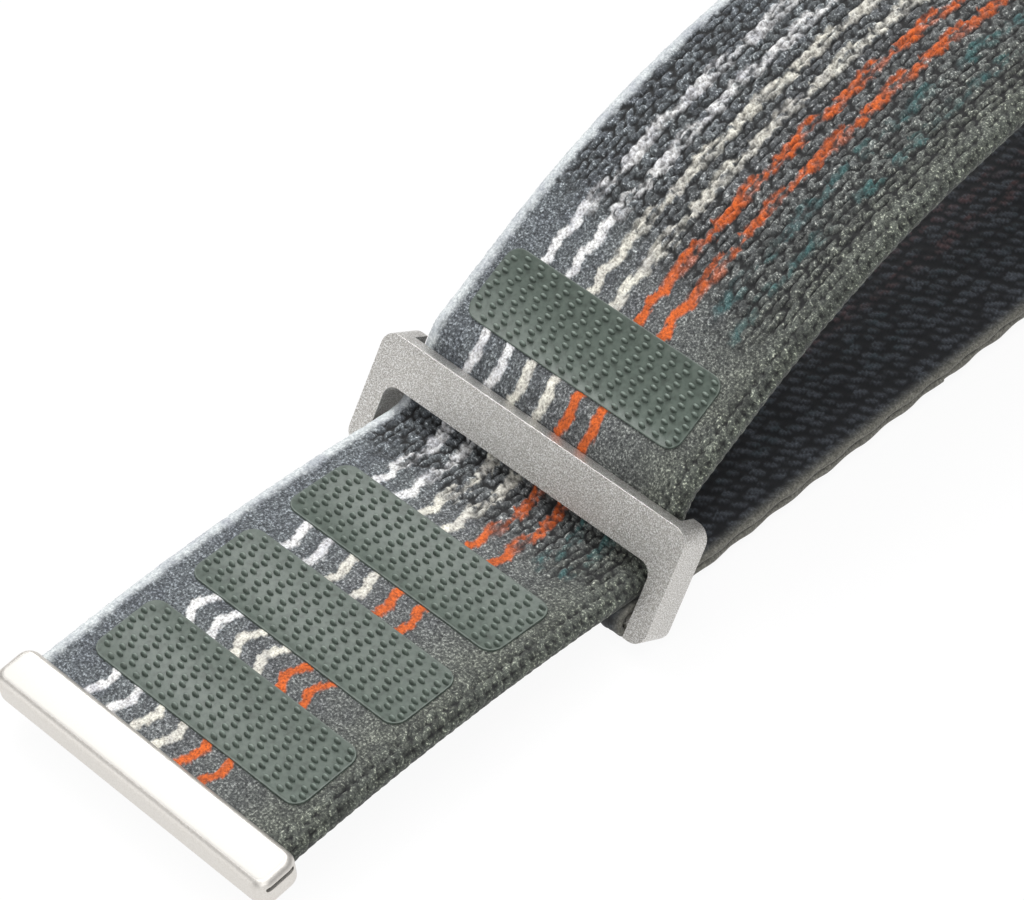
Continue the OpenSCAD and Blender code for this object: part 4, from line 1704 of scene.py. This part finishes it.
@dataclass
class EndBar:
    """The bar clamped on the tail's tip: round ends, soft edges and a slit."""

    sizes: Sizes
    finish: Steel = field(default_factory=lambda: Steel(
        "satin_steel", "#dedad4", roughness=0.44, grain_mm=0.12, strength=0.03, fleck=0.1))
    # The flat top's steel is darker than the rest: painted shade that dims the lamps' highlight
    # there.
    painted_dim_top_finish: Steel = field(default_factory=lambda: Steel(
        "steel_top_painted_darker", "#c8c6c2", roughness=0.66, grain_mm=0.08, strength=0.02, fleck=0.05))
    corner: float = 0.95
    corner_facets: int = 8
    soft: float = 0.6
    soft_facets: int = 6
    slit: tuple[float, float] = (0.35, 0.7)
    slit_r: float = 0.16
    slit_facets: int = 4
    slit_inset: float = 0.5
    side_room: float = 0.05
    web_room: float = 0.03
    spare: float = 1.0
    crown: float = 0.97
    smooth: float = 40.0

    def build(self) -> None:
        """Model the bar, mark its flat top and set it on the tip."""
        z = self.sizes
        half, near, far = z.strap_w / 2 + z.end_over, -z.end_grip, z.end_len - z.end_grip
        made = Bench.block("end_bar", (-half, near, -z.end_h / 2), (half, far, z.end_h / 2))
        Bench.round_edges(made, self.corner, self.corner_facets, lambda c, n: abs(n.z) > ALONG)
        Bench.soften(made, self.soft, self.soft_facets, 50.0)
        low, high = self.slit
        slit = Bench.block("slit", (-half - self.spare, near + self.slit_inset, low),
                           (half + self.spare, far - self.slit_inset, high))
        Bench.round_edges(slit, self.slit_r, self.slit_facets, lambda c, n: abs(n.x) > ALONG)
        Bench.carve(made, slit)
        wide, deep = z.strap_w / 2 + self.side_room, z.web_t / 2 + self.web_room
        Bench.carve(made, Bench.block("pocket", (-wide, -self.web_room, -deep),
                                      (wide, far + self.spare, deep)))
        # The flat top takes the darker steel, as painted shade.
        for face in made.data.polygons:
            face.material_index = int(face.normal.z > self.crown)
        made.data.transform(z.place(z.long_path(), 0.0))
        Bench.finish(made, "end_bar_metal", [self.finish.make(), self.painted_dim_top_finish.make()],
                     self.smooth)
        Bench.settle(made, "end_bar_metal", "tail_tip", "tail_end_bar")


@dataclass
class SpringBars:
    """The two quick-release spring bars, which show as their solids."""

    finish: Steel = field(default_factory=lambda: Steel(
        "turned_steel", "#b9b9ba", roughness=0.3, grain_mm=0.15, strength=0.15))

    def build(self) -> None:
        """Give the turned solids their finish."""
        Bench.dress(self.finish, lambda name: name.startswith(("long_bar_", "short_bar_")))


@dataclass
class Seams:
    """The sewn rows that close each folded loop, which show as their solids."""

    finish: Thread = field(default_factory=Thread)

    def build(self) -> None:
        """Give the sewn thread its finish."""
        Bench.dress(self.finish, lambda name: name.endswith("stitching"))


class Lamp(NamedTuple):
    """A soft square lamp: its place and side in metres, and its power in watts."""

    name: str
    place: Point
    size: float
    power: float


@dataclass
class Studio:
    """White paper, soft light and the camera at the photograph's angle."""

    place: Point = (0.12401, -0.163217, 0.18921)
    azimuth: float = 44.3995
    elevation: float = 45.652
    roll: float = 0.0953
    focal_px: float = 4117.4
    frame_px: float = 1024.0
    sensor_mm: float = 36.0
    floor: float = 6.0
    room_light: float = 0.35
    lamps: tuple[Lamp, ...] = (Lamp("key", (-0.45, 0.25, 0.75), size=0.5, power=6.5),
                               Lamp("top", (0.05, -0.05, 0.9), size=0.8, power=5.0),
                               Lamp("fill", (0.6, -0.5, 0.45), size=0.6, power=2.0),
                               Lamp("card", (-0.24, -0.44, 0.1), size=0.25, power=0.26))

    def camera(self) -> None:
        """Set the camera."""
        Bench.clear()
        bpy.ops.object.camera_add(location=self.place)
        made = bpy.context.object
        made.data.sensor_fit = "HORIZONTAL"
        made.data.sensor_width = self.sensor_mm
        made.data.lens = self.focal_px / self.frame_px * self.sensor_mm
        made.data.clip_start = 0.01
        made.data.clip_end = 10.0
        turn = Euler((math.radians(90 - self.elevation), 0, math.radians(self.azimuth)), "XYZ")
        roll = Matrix.Rotation(-math.radians(self.roll), 3, "Z")
        made.rotation_euler = (turn.to_matrix() @ roll).to_euler("XYZ")
        bpy.context.scene.camera = made

    @staticmethod
    def light(lamp: Lamp) -> None:
        """Hang a lamp so that it faces the object.

        Args:
            lamp: The lamp.
        """
        Bench.clear()
        bpy.ops.object.light_add(type="AREA", location=lamp.place)
        made = bpy.context.object
        made.name = lamp.name
        made.data.size = lamp.size
        made.data.energy = lamp.power
        made.rotation_euler = (-Vector(lamp.place)).to_track_quat("-Z", "Y").to_euler()

    def world(self) -> None:
        """Light the room evenly, and show it as plain white."""
        world = bpy.data.worlds.new("soft_room")
        world.use_nodes = True
        world.node_tree.nodes.clear()
        nodes = Nodes(world.node_tree)
        plain = nodes.add("Background", {"Color": WHITE, "Strength": self.room_light})
        white = nodes.add("Background", {"Color": WHITE, "Strength": 1.0})
        seen = nodes.add("LightPath", out="Is Camera Ray")
        nodes.add("OutputWorld", {
            "Surface": nodes.add("MixShader", {0: seen, 1: plain, 2: white})})
        bpy.context.scene.world = world

    def build(self) -> None:
        """Set the floor, the lamps, the world and the camera."""
        Bench.clear()
        bpy.ops.mesh.primitive_grid_add(x_subdivisions=4, y_subdivisions=4, size=self.floor)
        floor = bpy.context.object
        floor.name = "paper_floor"
        floor.data.materials.append(StudioPaper().make())
        for lamp in self.lamps:
            self.light(lamp)
        self.world()
        self.camera()
        log.info("studio ready")


def main() -> None:
    """Build the strap piece by piece."""
    logging.basicConfig(level=logging.INFO, format="%(name)s: %(message)s")
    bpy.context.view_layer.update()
    bpy.context.scene.view_settings.view_transform = "Standard"
    sizes = Sizes()
    for part in (LongStrap(sizes), ShortStrap(sizes), HookPatches(sizes), Ring(sizes),
                 EndBar(sizes), SpringBars(), Seams(), Studio()):
        part.build()


if __name__ == "__main__":
    main()
